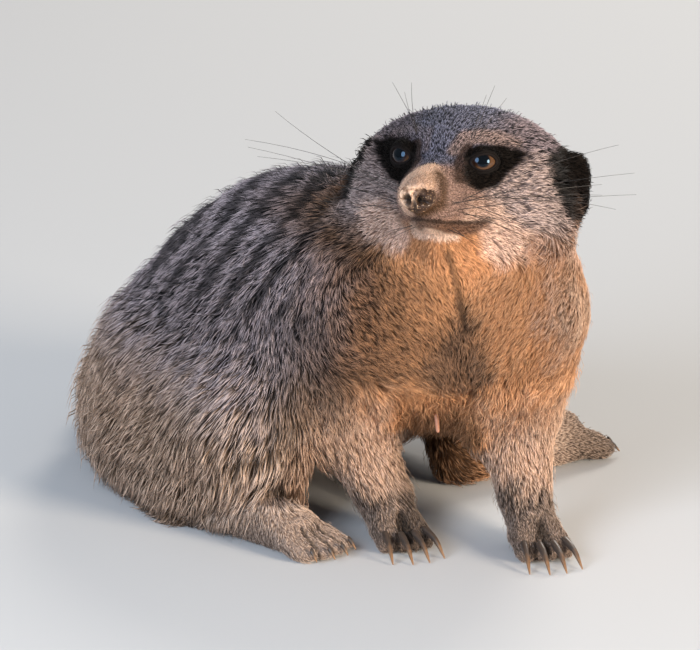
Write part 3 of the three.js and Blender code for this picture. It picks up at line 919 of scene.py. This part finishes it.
def makeSkin():
    solids = fleshNodes + bareNodes[:3]  # the nose and eyes fill their sockets
    skin = joined("skin", [copyOf(node) for node in solids])
    editAll(bpy.ops.mesh.remove_doubles, threshold=mergeGap)
    applyModifier(skin, "DISPLACE", strength=skinPlan["grow"], mid_level=0)
    applyModifier(skin, "REMESH", mode="VOXEL", voxel_size=skinPlan["voxel"])
    atFirst, onceSunk, onceFiner = skinPlan["smooth"]
    smoothen(skin, atFirst)

    points, normals = pointsOf(skin.data), normalsOf(skin.data)
    plan = planAt(skin.data, nearestSolid(points))
    depth = plan[:, 0] * shortening(points) * fade(points[:, 2], 9, 0.5)
    points = points - normals * depth[:, None]
    points = sculptBelly(sculptArm(points), normals)
    points = sculptFoot(sculptToes(points, normals))
    points[:, 2] = np.maximum(points[:, 2], skinPlan["floorClear"])
    setPoints(skin.data, points)
    smoothen(skin, onceSunk)

    head = intoHead(pointsOf(skin.data))
    front, wide, low = skinPlan["face"]
    refine(skin, (head[:, 1] < front) & (np.abs(head[:, 0]) < wide) & (head[:, 2] > low))
    refine(skin, fromEyes(intoHead(pointsOf(skin.data))) < skinPlan["nearEye"])
    smoothen(skin, onceFiner)
    setPoints(skin.data, sculptFace(pointsOf(skin.data), normalsOf(skin.data)))

    editAll(bpy.ops.uv.smart_project, angle_limit=math.radians(75), island_margin=0.001)
    skin.data.uv_layers[0].name = "OFBake"
    bpy.ops.object.shade_smooth()
    return skin


def fromEyes(head):  # how far it is to the nearer eye's middle
    return np.min([np.linalg.norm(head - intoHead(eyeMiddles[s]), axis=1) for s in sides], 0)


# The coat is shortest at the nose and round the eyes, short below the chin, and longer on
# the cheeks, over the belly and round the right haunch.
def shortening(points):
    head, folded, _ = headAxes(points)
    x, y, z = points.T
    nose = 0.36 + 0.64 * fade(np.linalg.norm(head - intoHead(noseMiddle), axis=1), 40, 7)
    eyes = 0.55 + 0.45 * fade(fromEyes(head), 15, 5)
    ruff = 1 + 0.45 * fade(farFrom(folded, facePlan["cheek"]), 0, 9)
    front = 0.5 * x - y
    chest = fade(front, 76, 54) * fade(z, 48, 36) * (1 - fade(head[:, 2], -14, -22))
    apron = fade(front, 76, 66) * bell(z, 49, 4.5)  # hangs over the belly
    hem = fade(z + 0.25 * x, 0, 36) * fade(x, -26, -10)
    return nose * eyes * ruff * ((1 - 0.36 * chest) * (1 + 0.55 * apron) * (1 + 0.32 * hem))


skin = makeSkin()
print("skin made,", len(skin.data.polygons), "faces")


# The skin's finish, and the coat's.

def dye(mark):  # colours at the roots and at the tips, and how much tips differ
    def hair(kind):
        low, high, vary = pelage[kind]
        return np.array([*low, *high, vary])

    mix = np.tile(hair("grizzle"), (len(mark["dark"]), 1))
    for kind in overlaid:
        mix += (hair(kind) - mix) * mark[kind][:, None]
    # the dark bands, and painted shade and painted light
    for name, darker in shading.items():
        mix[:, :6] *= 1 - darker * mark[name][:, None]
    mix += (hair("dark") - mix) * mark["dark"][:, None]
    return mix[:, :3], mix[:, 3:6], mix[:, 6]


def addColours(mesh, name, colours):
    layer = mesh.attributes.new(name, "FLOAT_COLOR", "POINT")
    layer.data.foreach_set(
        "color", np.column_stack([colours, np.ones(len(colours))]).astype(np.float32).ravel()
    )


def addNumbers(mesh, name, values):
    mesh.attributes.new(name, "FLOAT", "POINT").data.foreach_set(
        "value", values.astype(np.float32)
    )


def skinFinish():
    finish = Finish("skin under the coat", Roughness=0.8, Specular_IOR_Level=0.1)
    under, over = finish.attribute("under", "Color"), finish.attribute("over", "Color")
    fine = finish.noise(1800, detail=4)
    streaks = finish.noise(420, detail=3)
    colour = under.mixed(over, 0.15 + 0.35 * streaks)
    finish.drive(Base_Color=colour * (0.75 + 0.4 * fine), Roughness=0.7 + 0.2 * streaks)
    finish.bump(fine, 0.5, 0.0003)
    return finish.material


def coatFinish(name, shine):
    finish = Finish(name, Specular_IOR_Level=shine)
    under, over = finish.attribute("under", "Color"), finish.attribute("over", "Color")
    along, luck, differ = [finish.attribute(it) for it in ["along", "luck", "differ"]]
    patches = finish.noise(160, detail=2)
    pale = under.mixed(over, along.ramp(0.47, 0.77))
    lit = luck.ramp(0.3, 0.7) * 1.35 + 0.06
    brightness = 1 + differ * (lit - 1) + 0.35 * (patches - 0.5)
    darkTip = along.ramp(0.8, 1.0) * luck.ramp(0.6, 0.3) * differ
    colour = (pale * brightness).mixed(under, darkTip * 0.8)
    finish.drive(Base_Color=colour, Roughness=0.5 + 0.2 * luck)
    return finish.material


# Solids whose hair differs, and how far that spreads over the skin round them.
zoneParts = {"ear": "ear_", "limb": "forearm", "paw": "paw", "foot": "foot", "tip": "tail_tip"}


def zonesOf(node):
    masks = [[part in fleshNodes[n] for n in node] for part in zoneParts.values()]
    masks = spread(skin.data, np.array(masks, float).T, evenOut["zones"])
    return dict(zip(zoneParts, masks.T))


def finishSkin():
    points = pointsOf(skin.data)
    under, over, _ = dye(markings(points, zonesOf(nearestSolid(points))))
    addColours(skin.data, "under", under)
    addColours(skin.data, "over", over)
    skin.data.materials.clear()
    skin.data.materials.append(skinFinish())
    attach(skin, "root")
    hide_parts(*fleshNodes)


finishSkin()


# The coat.

tuftPlan = {
    "many": 251000,
    "patch": 0.003,  # its place on the map
    "wide": (0.115, 0.0145),  # width, mm: at least, and for each mm of length
    "widest": 0.58,  # where along it
    "buried": 0.35,  # of the root, mm
    "lowest": 0.15,  # over the floor, mm
    "lock": 6,  # tufts that share a lock
    "loose": 0.07,  # share of tufts that stray
    "full": (8, 1),  # hair this long stands and strays in full, and this short lies flat, mm
    "arch": 0.32,  # how far its middle is raised, as a share of its rise
    "bend": 0.022,  # and moved aside, of its length
    "ridge": 0.42,  # height of its back, of its width
    "hug": 0.75,  # how far the tips follow the skin below them
    "crowding": -0.65,  # short hair stands closer, by this power of its length
}
coatPieces = {  # how closely the tufts of each stand
    "coat_face": 1.75, "coat_mask": 0.75, "coat_crown": 1.05, "coat_ears": 0.8, "coat_nape": 0.9,
    "coat_throat": 2.1, "coat_chest_right": 2.1, "coat_chest_left": 2.0, "coat_withers": 1.3,
    "coat_flank_right": 1.5, "coat_flank_left": 0.9, "coat_rump": 1.2, "coat_haunch_right": 1.2,
    "coat_hem_right": 1.1, "coat_haunch_left": 0.46, "coat_forelegs": 0.8, "coat_feet": 0.55,
    "coat_tail": 0.65, "coat_tail_tip": 0.7,
}
darkPieces = ["coat_mask", "coat_ears", "coat_tail_tip"]
soleHeight = 0.9  # below it no hair grows, mm


def pieceOf(points, node, dark):  # which piece of coat grows there
    head = intoHead(points)
    x, y, z = points.T
    result = np.full(len(points), -1)
    names = list(coatPieces)

    def give(name, chosen):
        result[chosen] = names.index(name)

    def on(*parts):
        chosen = [n for n, name in enumerate(fleshNodes) if any(p in name for p in parts)]
        return np.isin(node, chosen)

    give("coat_crown", on("head"))
    give("coat_face", on("head") & (head[:, 1] < 9))
    give("coat_mask", on("head") & (dark > 0.5))
    give("coat_ears", on("ear_"))
    give("coat_nape", on("neck"))
    give("coat_throat", on("neck") & (y + 0.3 * x < -44))
    front = x * 0.5 - y > 42
    give("coat_flank_left", on("trunk"))
    aside = x * 0.58 + y * 0.81 < -24
    give("coat_withers", on("trunk") & (x > -8) & ~front)
    give("coat_rump", on("trunk") & (x < -36))
    give("coat_flank_right", on("trunk") & aside & ~front)
    give("coat_chest_left", on("trunk") & front)
    give("coat_chest_right", on("trunk") & front & (x < 26))
    give("coat_haunch_right", on("hind_right_thigh", "hind_right_shank"))
    give("coat_hem_right", on("hind_right_thigh", "hind_right_shank") & (z < 26))
    give("coat_haunch_left", on("hind_left_thigh", "hind_left_shank"))
    give("coat_forelegs", on("forearm", "paw"))
    give("coat_feet", on("foot"))
    give("coat_tail", on("tail_base", "tail_middle"))
    give("coat_tail_tip", on("tail_tip"))
    return result


def bareSkin(points):  # 1 where no hair grows: the eyes, the nose and the soles
    head = intoHead(points)
    bare = np.zeros(len(points))
    for side in sides:
        ring, far, _ = aroundEye(head, side)
        bare = np.maximum(bare, np.where(far < 8, fade(ring, *eyePlan["bare"]), 0))
    bare = np.maximum(bare, fromNose(head, nosePlan["bare"]) < 1)
    return np.maximum(bare, points[:, 2] < soleHeight)


def skinArrays():
    mesh = skin.data
    mesh.calc_loop_triangles()
    corners = np.empty(len(mesh.loop_triangles) * 3, np.int32)
    mesh.loop_triangles.foreach_get("vertices", corners)
    loops = np.empty(len(mesh.loop_triangles) * 3, np.int32)
    mesh.loop_triangles.foreach_get("loops", loops)
    uv = np.empty(len(mesh.loops) * 2, np.float32)
    mesh.uv_layers["OFBake"].uv.foreach_get("vector", uv)
    return corners.reshape(-1, 3), uv.reshape(-1, 2)[loops.reshape(-1, 3)]


def growRoots():  # where the tufts stand, and what each takes from the skin there
    points, normals = pointsOf(skin.data), normalsOf(skin.data)
    triangles, maps = skinArrays()
    node = nearestSolid(points)
    zones = zonesOf(node)
    plan = planAt(skin.data, node)
    plan[:, :2] *= shortening(points)[:, None]
    normals = unit(spread(skin.data, normals, evenOut["normals"]))
    dark = markings(points, zones)["dark"]
    close = np.array(list(coatPieces.values()))[pieceOf(points, node, dark)]
    close = spread(skin.data, close[:, None], evenOut["closeness"])[:, 0]
    a, b, c = [points[triangles[:, i]] for i in range(3)]
    area = np.linalg.norm(np.cross(b - a, c - a), axis=1) / 2
    middle = (a + b + c) / 3
    piece = pieceOf(middle, node[triangles[:, 0]], dark[triangles].mean(1))
    crowd = plan[:, 1][triangles].mean(1) ** tuftPlan["crowding"]
    weight = area * crowd * close[triangles].mean(1) * (1 - bareSkin(middle))
    many = weight * tuftPlan["many"] / weight.sum()
    many = np.floor(many + chance.random(len(many))).astype(int)
    triangle = np.repeat(np.arange(len(many)), many)
    share = chance.random((len(triangle), 2))
    over = share.sum(1) > 1
    share[over] = 1 - share[over]
    mix = np.column_stack([share, 1 - share.sum(1)])

    def blend(values):
        values = values if values.ndim > 1 else values[:, None]
        return (values[triangles[triangle]] * mix[:, :, None]).sum(1)

    return {
        "place": blend(points),
        "normal": unit(blend(normals)),
        "plan": blend(plan),
        "close": blend(close)[:, 0],
        "map": (maps[triangle] * mix[:, :, None]).sum(1),
        "piece": piece[triangle],
        "zones": {name: blend(mask)[:, 0] for name, mask in zones.items()},
    }


def findLocks(place):  # the tuft at the middle of the lock that each tuft stands in
    heads = chance.permutation(len(place))[: len(place) // tuftPlan["lock"]]
    tree = KDTree(len(heads))
    for n, at in enumerate(place[heads].tolist()):
        tree.insert(at, n)
    tree.balance()
    return heads[[tree.find(at)[1] for at in place.tolist()]]


def overSkin(tips, rise):  # tips brought to their height over the skin below them
    tree = BVHTree.FromObject(skin, bpy.context.evaluated_depsgraph_get())
    found = [tree.find_nearest(tip)[:2] for tip in (tips * mm).tolist()]
    places = np.array([f[0] for f in found]) / mm
    outward = np.array([f[1] for f in found])
    hugging = places + outward * rise[:, None]
    return tips * (1 - tuftPlan["hug"]) + hugging * tuftPlan["hug"]


def shapeTufts(roots, luck):  # luck, from 0 to 1, makes some longer, higher and paler
    place, normal, plan = roots["place"], roots["normal"], roots["plan"]
    depth, length, stray, gather = plan.T
    count = len(place)
    lock = roots["lock"]
    length = length * chance.uniform(0.8, 1.1, count) * (0.72 + 0.45 * luck)
    full = fade(length, *tuftPlan["full"])
    depth = depth * (0.45 + 0.65 * luck) * (0.6 + 0.4 * full)
    loose = chance.random(count) < tuftPlan["loose"] * full  # they stand out along the outline
    depth = np.where(loose, depth * 1.5 + 0.5, depth)
    stray = np.where(loose, stray * 1.8, stray) * (0.5 + 0.5 * full)
    way = brushed(place, normal)
    side = np.cross(normal, way)
    turn = chance.normal(size=count)
    turn = np.clip(0.6 * turn + 0.7 * turn[lock], -2.2, 2.2)  # partly its lock's
    turn = np.radians(stray * turn)[:, None]
    way = way * np.cos(turn) + side * np.sin(turn)
    side = np.cross(normal, way)
    rise = np.minimum(depth, length * 0.8)
    run = np.sqrt(length**2 - rise**2)
    tip = overSkin(place + way * run[:, None] + normal * rise[:, None], rise)
    gather = gather * chance.uniform(0.5, 1.3, count) * (0.15 + 0.85 * full)
    tip += (tip[lock] - tip) * gather[:, None]
    widest = tuftPlan["widest"]
    middle = place * (1 - widest) + tip * widest + normal * (rise * tuftPlan["arch"])[:, None]
    middle = middle + side * (length * chance.normal(0, tuftPlan["bend"], count))[:, None]
    thin, wider = tuftPlan["wide"]
    width = (thin + wider * length) * roots["close"] ** -0.4
    half = side * (width / 2)[:, None]
    corners = np.stack([
        place - normal * tuftPlan["buried"],
        middle - half,
        middle + half,
        middle + normal * (width * tuftPlan["ridge"])[:, None],
        tip,
    ], axis=1)
    corners[:, :, 2] = np.maximum(corners[:, :, 2], tuftPlan["lowest"])
    return corners


# A tuft's corners are its root, two sides, its back and its tip. Below are its faces, how
# far along it each corner is, and where on its patch of the map.
tuftFaces = np.array([[4, 1, 2], [4, 2, 3], [4, 3, 1], [0, 2, 1], [0, 3, 2], [0, 1, 3]])
tuftAlong = np.array([0, *[tuftPlan["widest"]] * 3, 1.0])
tuftMap = np.array([[0, -0.5], [-0.5, -0.1], [0.5, -0.1], [0, 0], [0, 0.5]])


def meshFromTriangles(name, points, triangles):
    mesh = bpy.data.meshes.new(name)
    mesh.vertices.add(len(points))
    mesh.vertices.foreach_set("co", (points * mm).astype(np.float32).ravel())
    mesh.loops.add(triangles.size)
    mesh.loops.foreach_set("vertex_index", triangles.astype(np.int32).ravel())
    mesh.polygons.add(len(triangles))
    mesh.polygons.foreach_set("loop_start", np.arange(0, triangles.size, 3, dtype=np.int32))
    mesh.polygons.foreach_set("use_smooth", np.ones(len(triangles), bool))
    mesh.update(calc_edges=True)
    return addObject(name, mesh)


def growCoat():
    roots = growRoots()
    roots["lock"] = findLocks(roots["place"])
    luck = chance.random(len(roots["place"]))
    luck = 0.8 * luck + 0.2 * luck[roots["lock"]]
    tufts = shapeTufts(roots, luck)
    seen = roots["place"] * 0.3 + tufts[:, 4] * 0.7  # where each tuft's colour shows
    under, over, differ = dye(markings(seen, roots["zones"]))
    coat, darkCoat = coatFinish("coat of hair", 0.3), coatFinish("dark coat", 0.06)
    for n, name in enumerate(coatPieces):
        here = np.flatnonzero(roots["piece"] == n)
        count = len(here)
        faces = (tuftFaces[None] + 5 * np.arange(count)[:, None, None]).reshape(-1, 3)
        piece = meshFromTriangles(name, tufts[here].reshape(-1, 3), faces)
        addColours(piece.data, "under", np.repeat(under[here], 5, axis=0))
        addColours(piece.data, "over", np.repeat(over[here], 5, axis=0))
        addNumbers(piece.data, "differ", np.repeat(differ[here], 5))
        addNumbers(piece.data, "luck", np.repeat(luck[here], 5))
        addNumbers(piece.data, "along", np.tile(tuftAlong, count))
        layer = piece.data.uv_layers.new(name="OFBake")
        spots = (roots["map"][here][:, None] + tuftPlan["patch"] * tuftMap[None]).reshape(-1, 2)
        layer.uv.foreach_set("vector", spots[faces.ravel()].astype(np.float32).ravel())
        piece.data.materials.append(darkCoat if name in darkPieces else coat)
        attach(piece, "root")
        print(name, len(faces), "triangles")


growCoat()


# The eyes and their lids.

def eyeFinish():
    finish = Finish(
        "eye", Roughness=0.08, Specular_IOR_Level=0.3, Specular_Tint=(0.36, 0.66, 1.0),
        Coat_Weight=0.2, Coat_Roughness=0.03, Coat_IOR=1.25,
    )
    away = finish.attribute("away")  # degrees from the middle of the pupil
    streaks = finish.noise(9, detail=4, roughness=0.6, where=finish.attribute("round", "Color"))
    # the amber on the iris's lit side is painted light
    glow = finish.attribute("glow") * (0.35 + 0.9 * streaks)
    brown, amber = finish.colour(0.016, 0.0065, 0.0035), (0.088, 0.042, 0.018)
    pupil, rim = (0.002, 0.002, 0.002), (0.007, 0.005, 0.005)
    iris = brown.mixed(amber, (glow * (0.55 + away.ramp(18, 34))).ramp(0.2, 1.0))
    colour = iris.mixed(pupil, (away + streaks * 3).ramp(26, 20))
    # past the iris the eye's white is painted near black, as painted shade
    finish.drive(Base_Color=colour.mixed(rim, away.ramp(45, 51)))
    return finish.material


def makeEyes():
    material = eyeFinish()
    for side in sides:
        gaze, _ = eyeAxes(side, eyePlan["inward"])
        gaze = outOfHead(gaze + (0, 0, eyePlan["upward"])) - outOfHead((0, 0, 0))
        gaze = unit(gaze[None])[0]
        eye = basicShape(
            "uv_sphere", "eyeball_" + side, segments=48, ring_count=32,
            radius=eyePlan["radius"] * mm, location=eyeMiddles[side] * mm,
            rotation=Vector(gaze).to_track_quat("Z", "Y").to_euler(),
        )
        points = pointsOf(eye.data) - eyeMiddles[side]
        away = np.degrees(np.arccos(np.clip(unit(points) @ gaze, -1, 1)))
        bulge = 1 + eyePlan["cornea"] * fade(away, 18, 48)
        setPoints(eye.data, eyeMiddles[side] + points * bulge[:, None])
        across = unit(np.cross([[0, 0, 1]], gaze[None]))[0]
        up = np.cross(gaze, across)
        turned = np.arctan2(points @ up, points @ across)
        ring = np.column_stack([np.cos(turned) * 3, np.sin(turned) * 3, away / 30])
        # how far toward the side painted lit
        lit = unit(intoHead(points) - intoHead(points * 0)) @ np.array(eyePlan["lit"])
        addNumbers(eye.data, "glow", fade(lit, 0.62, 0.1))
        addNumbers(eye.data, "away", away)
        addColours(eye.data, "round", ring)
        dress(eye, material)
        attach(eye, "root")
        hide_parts("eye_" + side)


def lidFinish():
    finish = Finish("lids", Roughness=0.6, Specular_IOR_Level=0.06)
    grain = finish.noise(2600, detail=4)
    colour = finish.colour(0.004, 0.003, 0.003).mixed((0.014, 0.010, 0.009), grain)
    finish.drive(Base_Color=colour, Roughness=0.5 + 0.25 * grain)
    finish.bump(grain, 0.4, 0.0001)
    return finish.material


def makeLids():  # a rolled rim round each eye
    material = lidFinish()
    for side in sides:
        lids = basicShape(
            "torus", "lids_" + side, major_segments=72, minor_segments=14,
            major_radius=10 * mm, minor_radius=mm,
        )
        points = pointsOf(lids.data)
        turned = np.arctan2(points[:, 1], points[:, 0])
        across = np.hypot(points[:, 0], points[:, 1]) - 10
        gaze, aside = eyeAxes(side)
        thick = eyePlan["lid"] * (1 + 0.3 * (np.sin(turned) > 0) * np.sin(turned))
        ring = 1.02 + across * thick / 3.4
        wide = np.radians(eyePlan["wide"] * ring) * np.cos(turned)
        rise = eyePlan["tilt"] * sides[side] * np.cos(turned)
        high = np.radians(eyePlan["high"] * ring * (np.sin(turned) + rise) - eyePlan["drop"])
        way = np.column_stack([np.tan(np.clip(wide, -1.3, 1.3)), np.tan(high), np.ones(len(wide))])
        way = unit(way[:, :1] * aside + way[:, 1:2] * np.array([0, 0, 1]) + way[:, 2:] * gaze)
        out = eyePlan["radius"] + 0.12 + points[:, 2] * thick
        setPoints(lids.data, outOfHead(intoHead(eyeMiddles[side]) + way * out[:, None]))
        editAll(bpy.ops.mesh.normals_make_consistent, inside=False)
        dress(lids, material)
        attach(lids, "root")


makeEyes()
makeLids()
print("eyes and lids made")


# The nose.

def noseFinish():
    finish = Finish(
        "nose leather", Specular_IOR_Level=0.2, Coat_Weight=0.3, Coat_Roughness=0.13
    )
    grain = finish.start.node(
        "ShaderNodeTexVoronoi", settings={"feature": "F1"}, Vector=finish.place(), Scale=1900
    )
    mottle = finish.noise(520, detail=4)
    pitShade = finish.attribute("pitShade")
    tan = finish.colour(0.88, 0.56, 0.37)
    colour = tan.mixed((0.24, 0.115, 0.062), mottle.ramp(0.42, 0.60))
    brown = (colour * 0.10).mixed((0.036, 0.014, 0.007), 0.6)
    # pale flecks in the brown: painted wet glints
    brown = brown.mixed((0.50, 0.32, 0.19), finish.noise(1500, detail=2).ramp(0.60, 0.68) * 0.8)
    # brown round and below the nostrils, and painted shade over the nose's left side
    colour = colour.mixed(brown, finish.attribute("around"))
    # painted shade, near black, inside the nostrils' pits
    colour = colour.mixed((0.009, 0.004, 0.0025), pitShade)
    finish.drive(Base_Color=colour * (0.7 + 0.5 * grain), Roughness=0.5 + 0.3 * mottle)
    finish.bump(grain + 1.5 * mottle, 0.7, 0.00022)
    return finish.material


def makeNose():
    nose = basicShape("uv_sphere", "nose_pad", segments=96, ring_count=64, radius=mm)
    points = pointsOf(nose.data) * nosePlan["radii"]
    points[:, 2] *= 1 - 0.10 * fade(points[:, 1], -4, 1)
    points[:, 0] *= 1 - 0.16 * fade(points[:, 2], -4, 0)  # narrower below
    folded = onLeft(points)
    hole = np.linalg.norm((folded - nosePlan["nostril"]) / nosePlan["nostrilSize"], axis=1)
    line = farFrom(folded, [nosePlan["nostril"], nosePlan["slit"]])
    pit = np.maximum(fade(hole, 0.6, 1.25), 0.9 * fade(line, 0.35, 0.95))
    high, reach = nosePlan["wingSize"]
    wing = high * bell(np.linalg.norm(folded - nosePlan["wing"], axis=1), 0, reach)
    high, place, wide = nosePlan["rim"]
    rim = high * bell(hole, place, wide) * fade(points[:, 2], 0.6, -1.2)
    deep, wide = nosePlan["groove"]
    groove = deep * bell(points[:, 0], 0, wide) * fade(points[:, 1], -1.5, 0.5)
    groove *= fade(points[:, 2], 0.8, 2.4)
    sunk = nosePlan["deep"] * pit + groove - rim - wing * (1 - pit)
    points = points - unit(points) * sunk[:, None]
    setPoints(nose.data, outOfHead(points + intoHead(noseMiddle) + nosePlan["sink"]))
    # painted shade inside the nostrils' pits
    addNumbers(nose.data, "pitShade", np.clip(pit * 1.1, 0, 1))
    shadedSide = fade(points[:, 0] - 0.5 * points[:, 2], 1.4, -1.6)  # painted shade on the nose's left side
    below = 0.85 * fade(points[:, 2], -1.6, 0.6) * fade(points[:, 0], -1.0, -3.8)
    rims = 0.9 * fade(hole, 1.15, 1.6)
    addNumbers(nose.data, "around", np.maximum(np.maximum(shadedSide, below), rims))
    dress(nose, noseFinish())
    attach(nose, "root")
    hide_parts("nose")


makeNose()
print("nose made")


# The whiskers.

# The groups grow on both sides. Each has, in the head's axes, its place on the left and
# its way, then its length, the number of whiskers and how far apart they are.
whiskerPlan = {
    "thick": 0.20,  # mm at the root
    "slimmer": 0.62,  # how much thinner at the end
    "groups": [
        ((7.0, -15.5, -11.5), (0.93, 0.20, 0.22), 50, 4, 2.2),
        ((8.5, -11.5, -13.0), (0.92, 0.35, -0.02), 40, 4, 2.0),
        ((8.5, -3.5, 6.5), (0.40, 0.05, 0.85), 17, 3, 1.2),
        ((21.0, 5.0, -8.0), (0.95, 0.35, 0.15), 24, 3, 2.0),
        ((5.0, -10.0, -20.0), (0.90, 0.05, -0.40), 11, 3, 1.8),
    ],
    "stops": 9,
    "stray": 0.13,  # how much their ways differ
    "lengths": (0.7, 1.1),
    "sag": (0, 0.08, -0.048),  # of the end, in the head's axes, as a share of the length
    "uneven": 0.05,
}


def whiskerFinish():
    finish = Finish("whisker", Roughness=0.4, Specular_IOR_Level=0.4)
    grain = finish.noise(300, detail=2)
    dark = finish.colour(0.012, 0.009, 0.008)
    finish.drive(Base_Color=dark.mixed((0.060, 0.045, 0.036), grain.ramp(0.4, 0.7)))
    return finish.material


def makeWhiskers():
    curve = bpy.data.curves.new("whiskers", "CURVE")
    curve.dimensions = "3D"
    curve.bevel_depth = whiskerPlan["thick"] / 2 * mm
    curve.bevel_resolution = 1
    curve.use_fill_caps = True
    tree = BVHTree.FromObject(skin, bpy.context.evaluated_depsgraph_get())
    bend = np.random.default_rng(5)
    for sign in sides.values():
        for place, way, length, many, gap in whiskerPlan["groups"]:
            for _ in range(many):
                start = np.array(place) + bend.normal(0, gap * 0.6, 3)
                ahead = np.array(way) + bend.normal(0, whiskerPlan["stray"], 3)
                ahead = unit(ahead[None])[0]
                long = length * bend.uniform(*whiskerPlan["lengths"])
                root = outOfHead((start * (sign, 1, 1))[None])[0]
                root = np.array(tree.find_nearest(Vector(root * mm))[0]) / mm
                t = np.linspace(0, 1, whiskerPlan["stops"])[:, None]
                sag = bend.normal(0, whiskerPlan["uneven"]) + np.array(whiskerPlan["sag"])
                line = intoHead(root[None]) + (ahead * (sign, 1, 1)) * t * long + sag * t**2 * long
                stops = outOfHead(line) * mm
                spline = curve.splines.new("POLY")
                spline.points.add(len(stops) - 1)
                for point, at, share in zip(spline.points, stops, t[:, 0]):
                    point.co = (*at, 1)
                    point.radius = 1 - whiskerPlan["slimmer"] * share
    choose(addObject("whiskers", curve))
    bpy.ops.object.convert(target="MESH")
    whiskers = bpy.context.object
    dress(whiskers, whiskerFinish())
    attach(whiskers, "root")


makeWhiskers()
print("whiskers made")


# The teat.

teatPlan = {
    "place": (22.9, -68, 33.4),  # near the belly's skin, mm
    "way": (0.06, -0.55, -0.83),
    "long": 8.4,
    "thick": (0.85, 0.527),  # radius at the root and at the end
    "out": 0.42,  # where its middle is, as a share of its length from the skin
}


def teatFinish():
    finish = Finish("teat", Roughness=0.5, Subsurface_Weight=0.1)
    grain = finish.noise(1500, detail=4)
    pink = finish.colour(0.46, 0.19, 0.11)
    finish.drive(Base_Color=pink.mixed((0.30, 0.12, 0.07), grain), Roughness=0.4 + 0.25 * grain)
    finish.bump(grain, 0.5, 0.0001)
    return finish.material


def makeTeat():
    tree = BVHTree.FromObject(skin, bpy.context.evaluated_depsgraph_get())
    root = tree.find_nearest(Vector(teatPlan["place"]) * mm)[0]
    way = Vector(teatPlan["way"]).normalized()
    wide, narrow = teatPlan["thick"]
    teat = basicShape(
        "cone", "teat", vertices=16, radius1=wide * mm, radius2=narrow * mm,
        depth=teatPlan["long"] * mm,
        location=root + way * teatPlan["long"] * teatPlan["out"] * mm,
        rotation=way.to_track_quat("Z", "Y").to_euler(),
    )
    editAll(bpy.ops.mesh.subdivide, number_cuts=3)
    applyModifier(teat, "SUBSURF", levels=2, render_levels=2)
    dress(teat, teatFinish())
    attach(teat, "root")


makeTeat()
print("teat made")


# The claws.

clawPlan = {"slim": 0.88, "fore": 1.0, "hind": 0.75}  # thickness, then length


def clawFinish():
    finish = Finish("claw", Roughness=0.4, Coat_Weight=0.2, Coat_Roughness=0.2)
    along = finish.attribute("along")
    grain = finish.noise(700, detail=4)
    base = finish.colour(0.055, 0.040, 0.032)
    colour = base.mixed((0.24, 0.12, 0.050), (along + 0.25 * (grain - 0.5)).ramp(0.5, 1.0))
    finish.drive(Base_Color=colour * (0.75 + 0.5 * grain), Roughness=0.3 + 0.25 * grain)
    finish.bump(grain, 0.3, 0.00015)
    return finish.material


def makeClaws():
    material = clawFinish()
    for foot, nodes in claws.items():
        copies = []
        for node in nodes:
            copy = copyOf(node)
            choose(copy)
            editAll(bpy.ops.mesh.remove_doubles, threshold=mergeGap)
            points = pointsOf(copy.data)
            far = np.linalg.norm((points - pawMiddle(foot))[:, :2], axis=1)
            along = (far - far.min()) / (far.max() - far.min())
            centre = np.column_stack([np.polyval(np.polyfit(along, c, 2), along) for c in points.T])
            points = centre + (points - centre) * clawPlan["slim"]
            root = centre[along.argmin()]
            points = root + (points - root) * clawPlan["fore" if "fore" in foot else "hind"]
            setPoints(copy.data, points)
            addNumbers(copy.data, "along", along)
            applyModifier(copy, "SUBSURF", levels=2, render_levels=2)
            copies.append(copy)
        piece = joined("claws_" + foot, copies)
        dress(piece, material)
        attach(piece, "root")
        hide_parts(*nodes)


makeClaws()
print("claws made")


# The floor.

def makeFloor():
    floor = basicShape("plane", "floor", size=studio["floorSize"])
    finish = Finish("floor", Base_Color=studio["floor"], Roughness=0.9, Specular_IOR_Level=0.1)
    floor.data.materials.append(finish.material)


makeFloor()
bpy.context.view_layer.update()
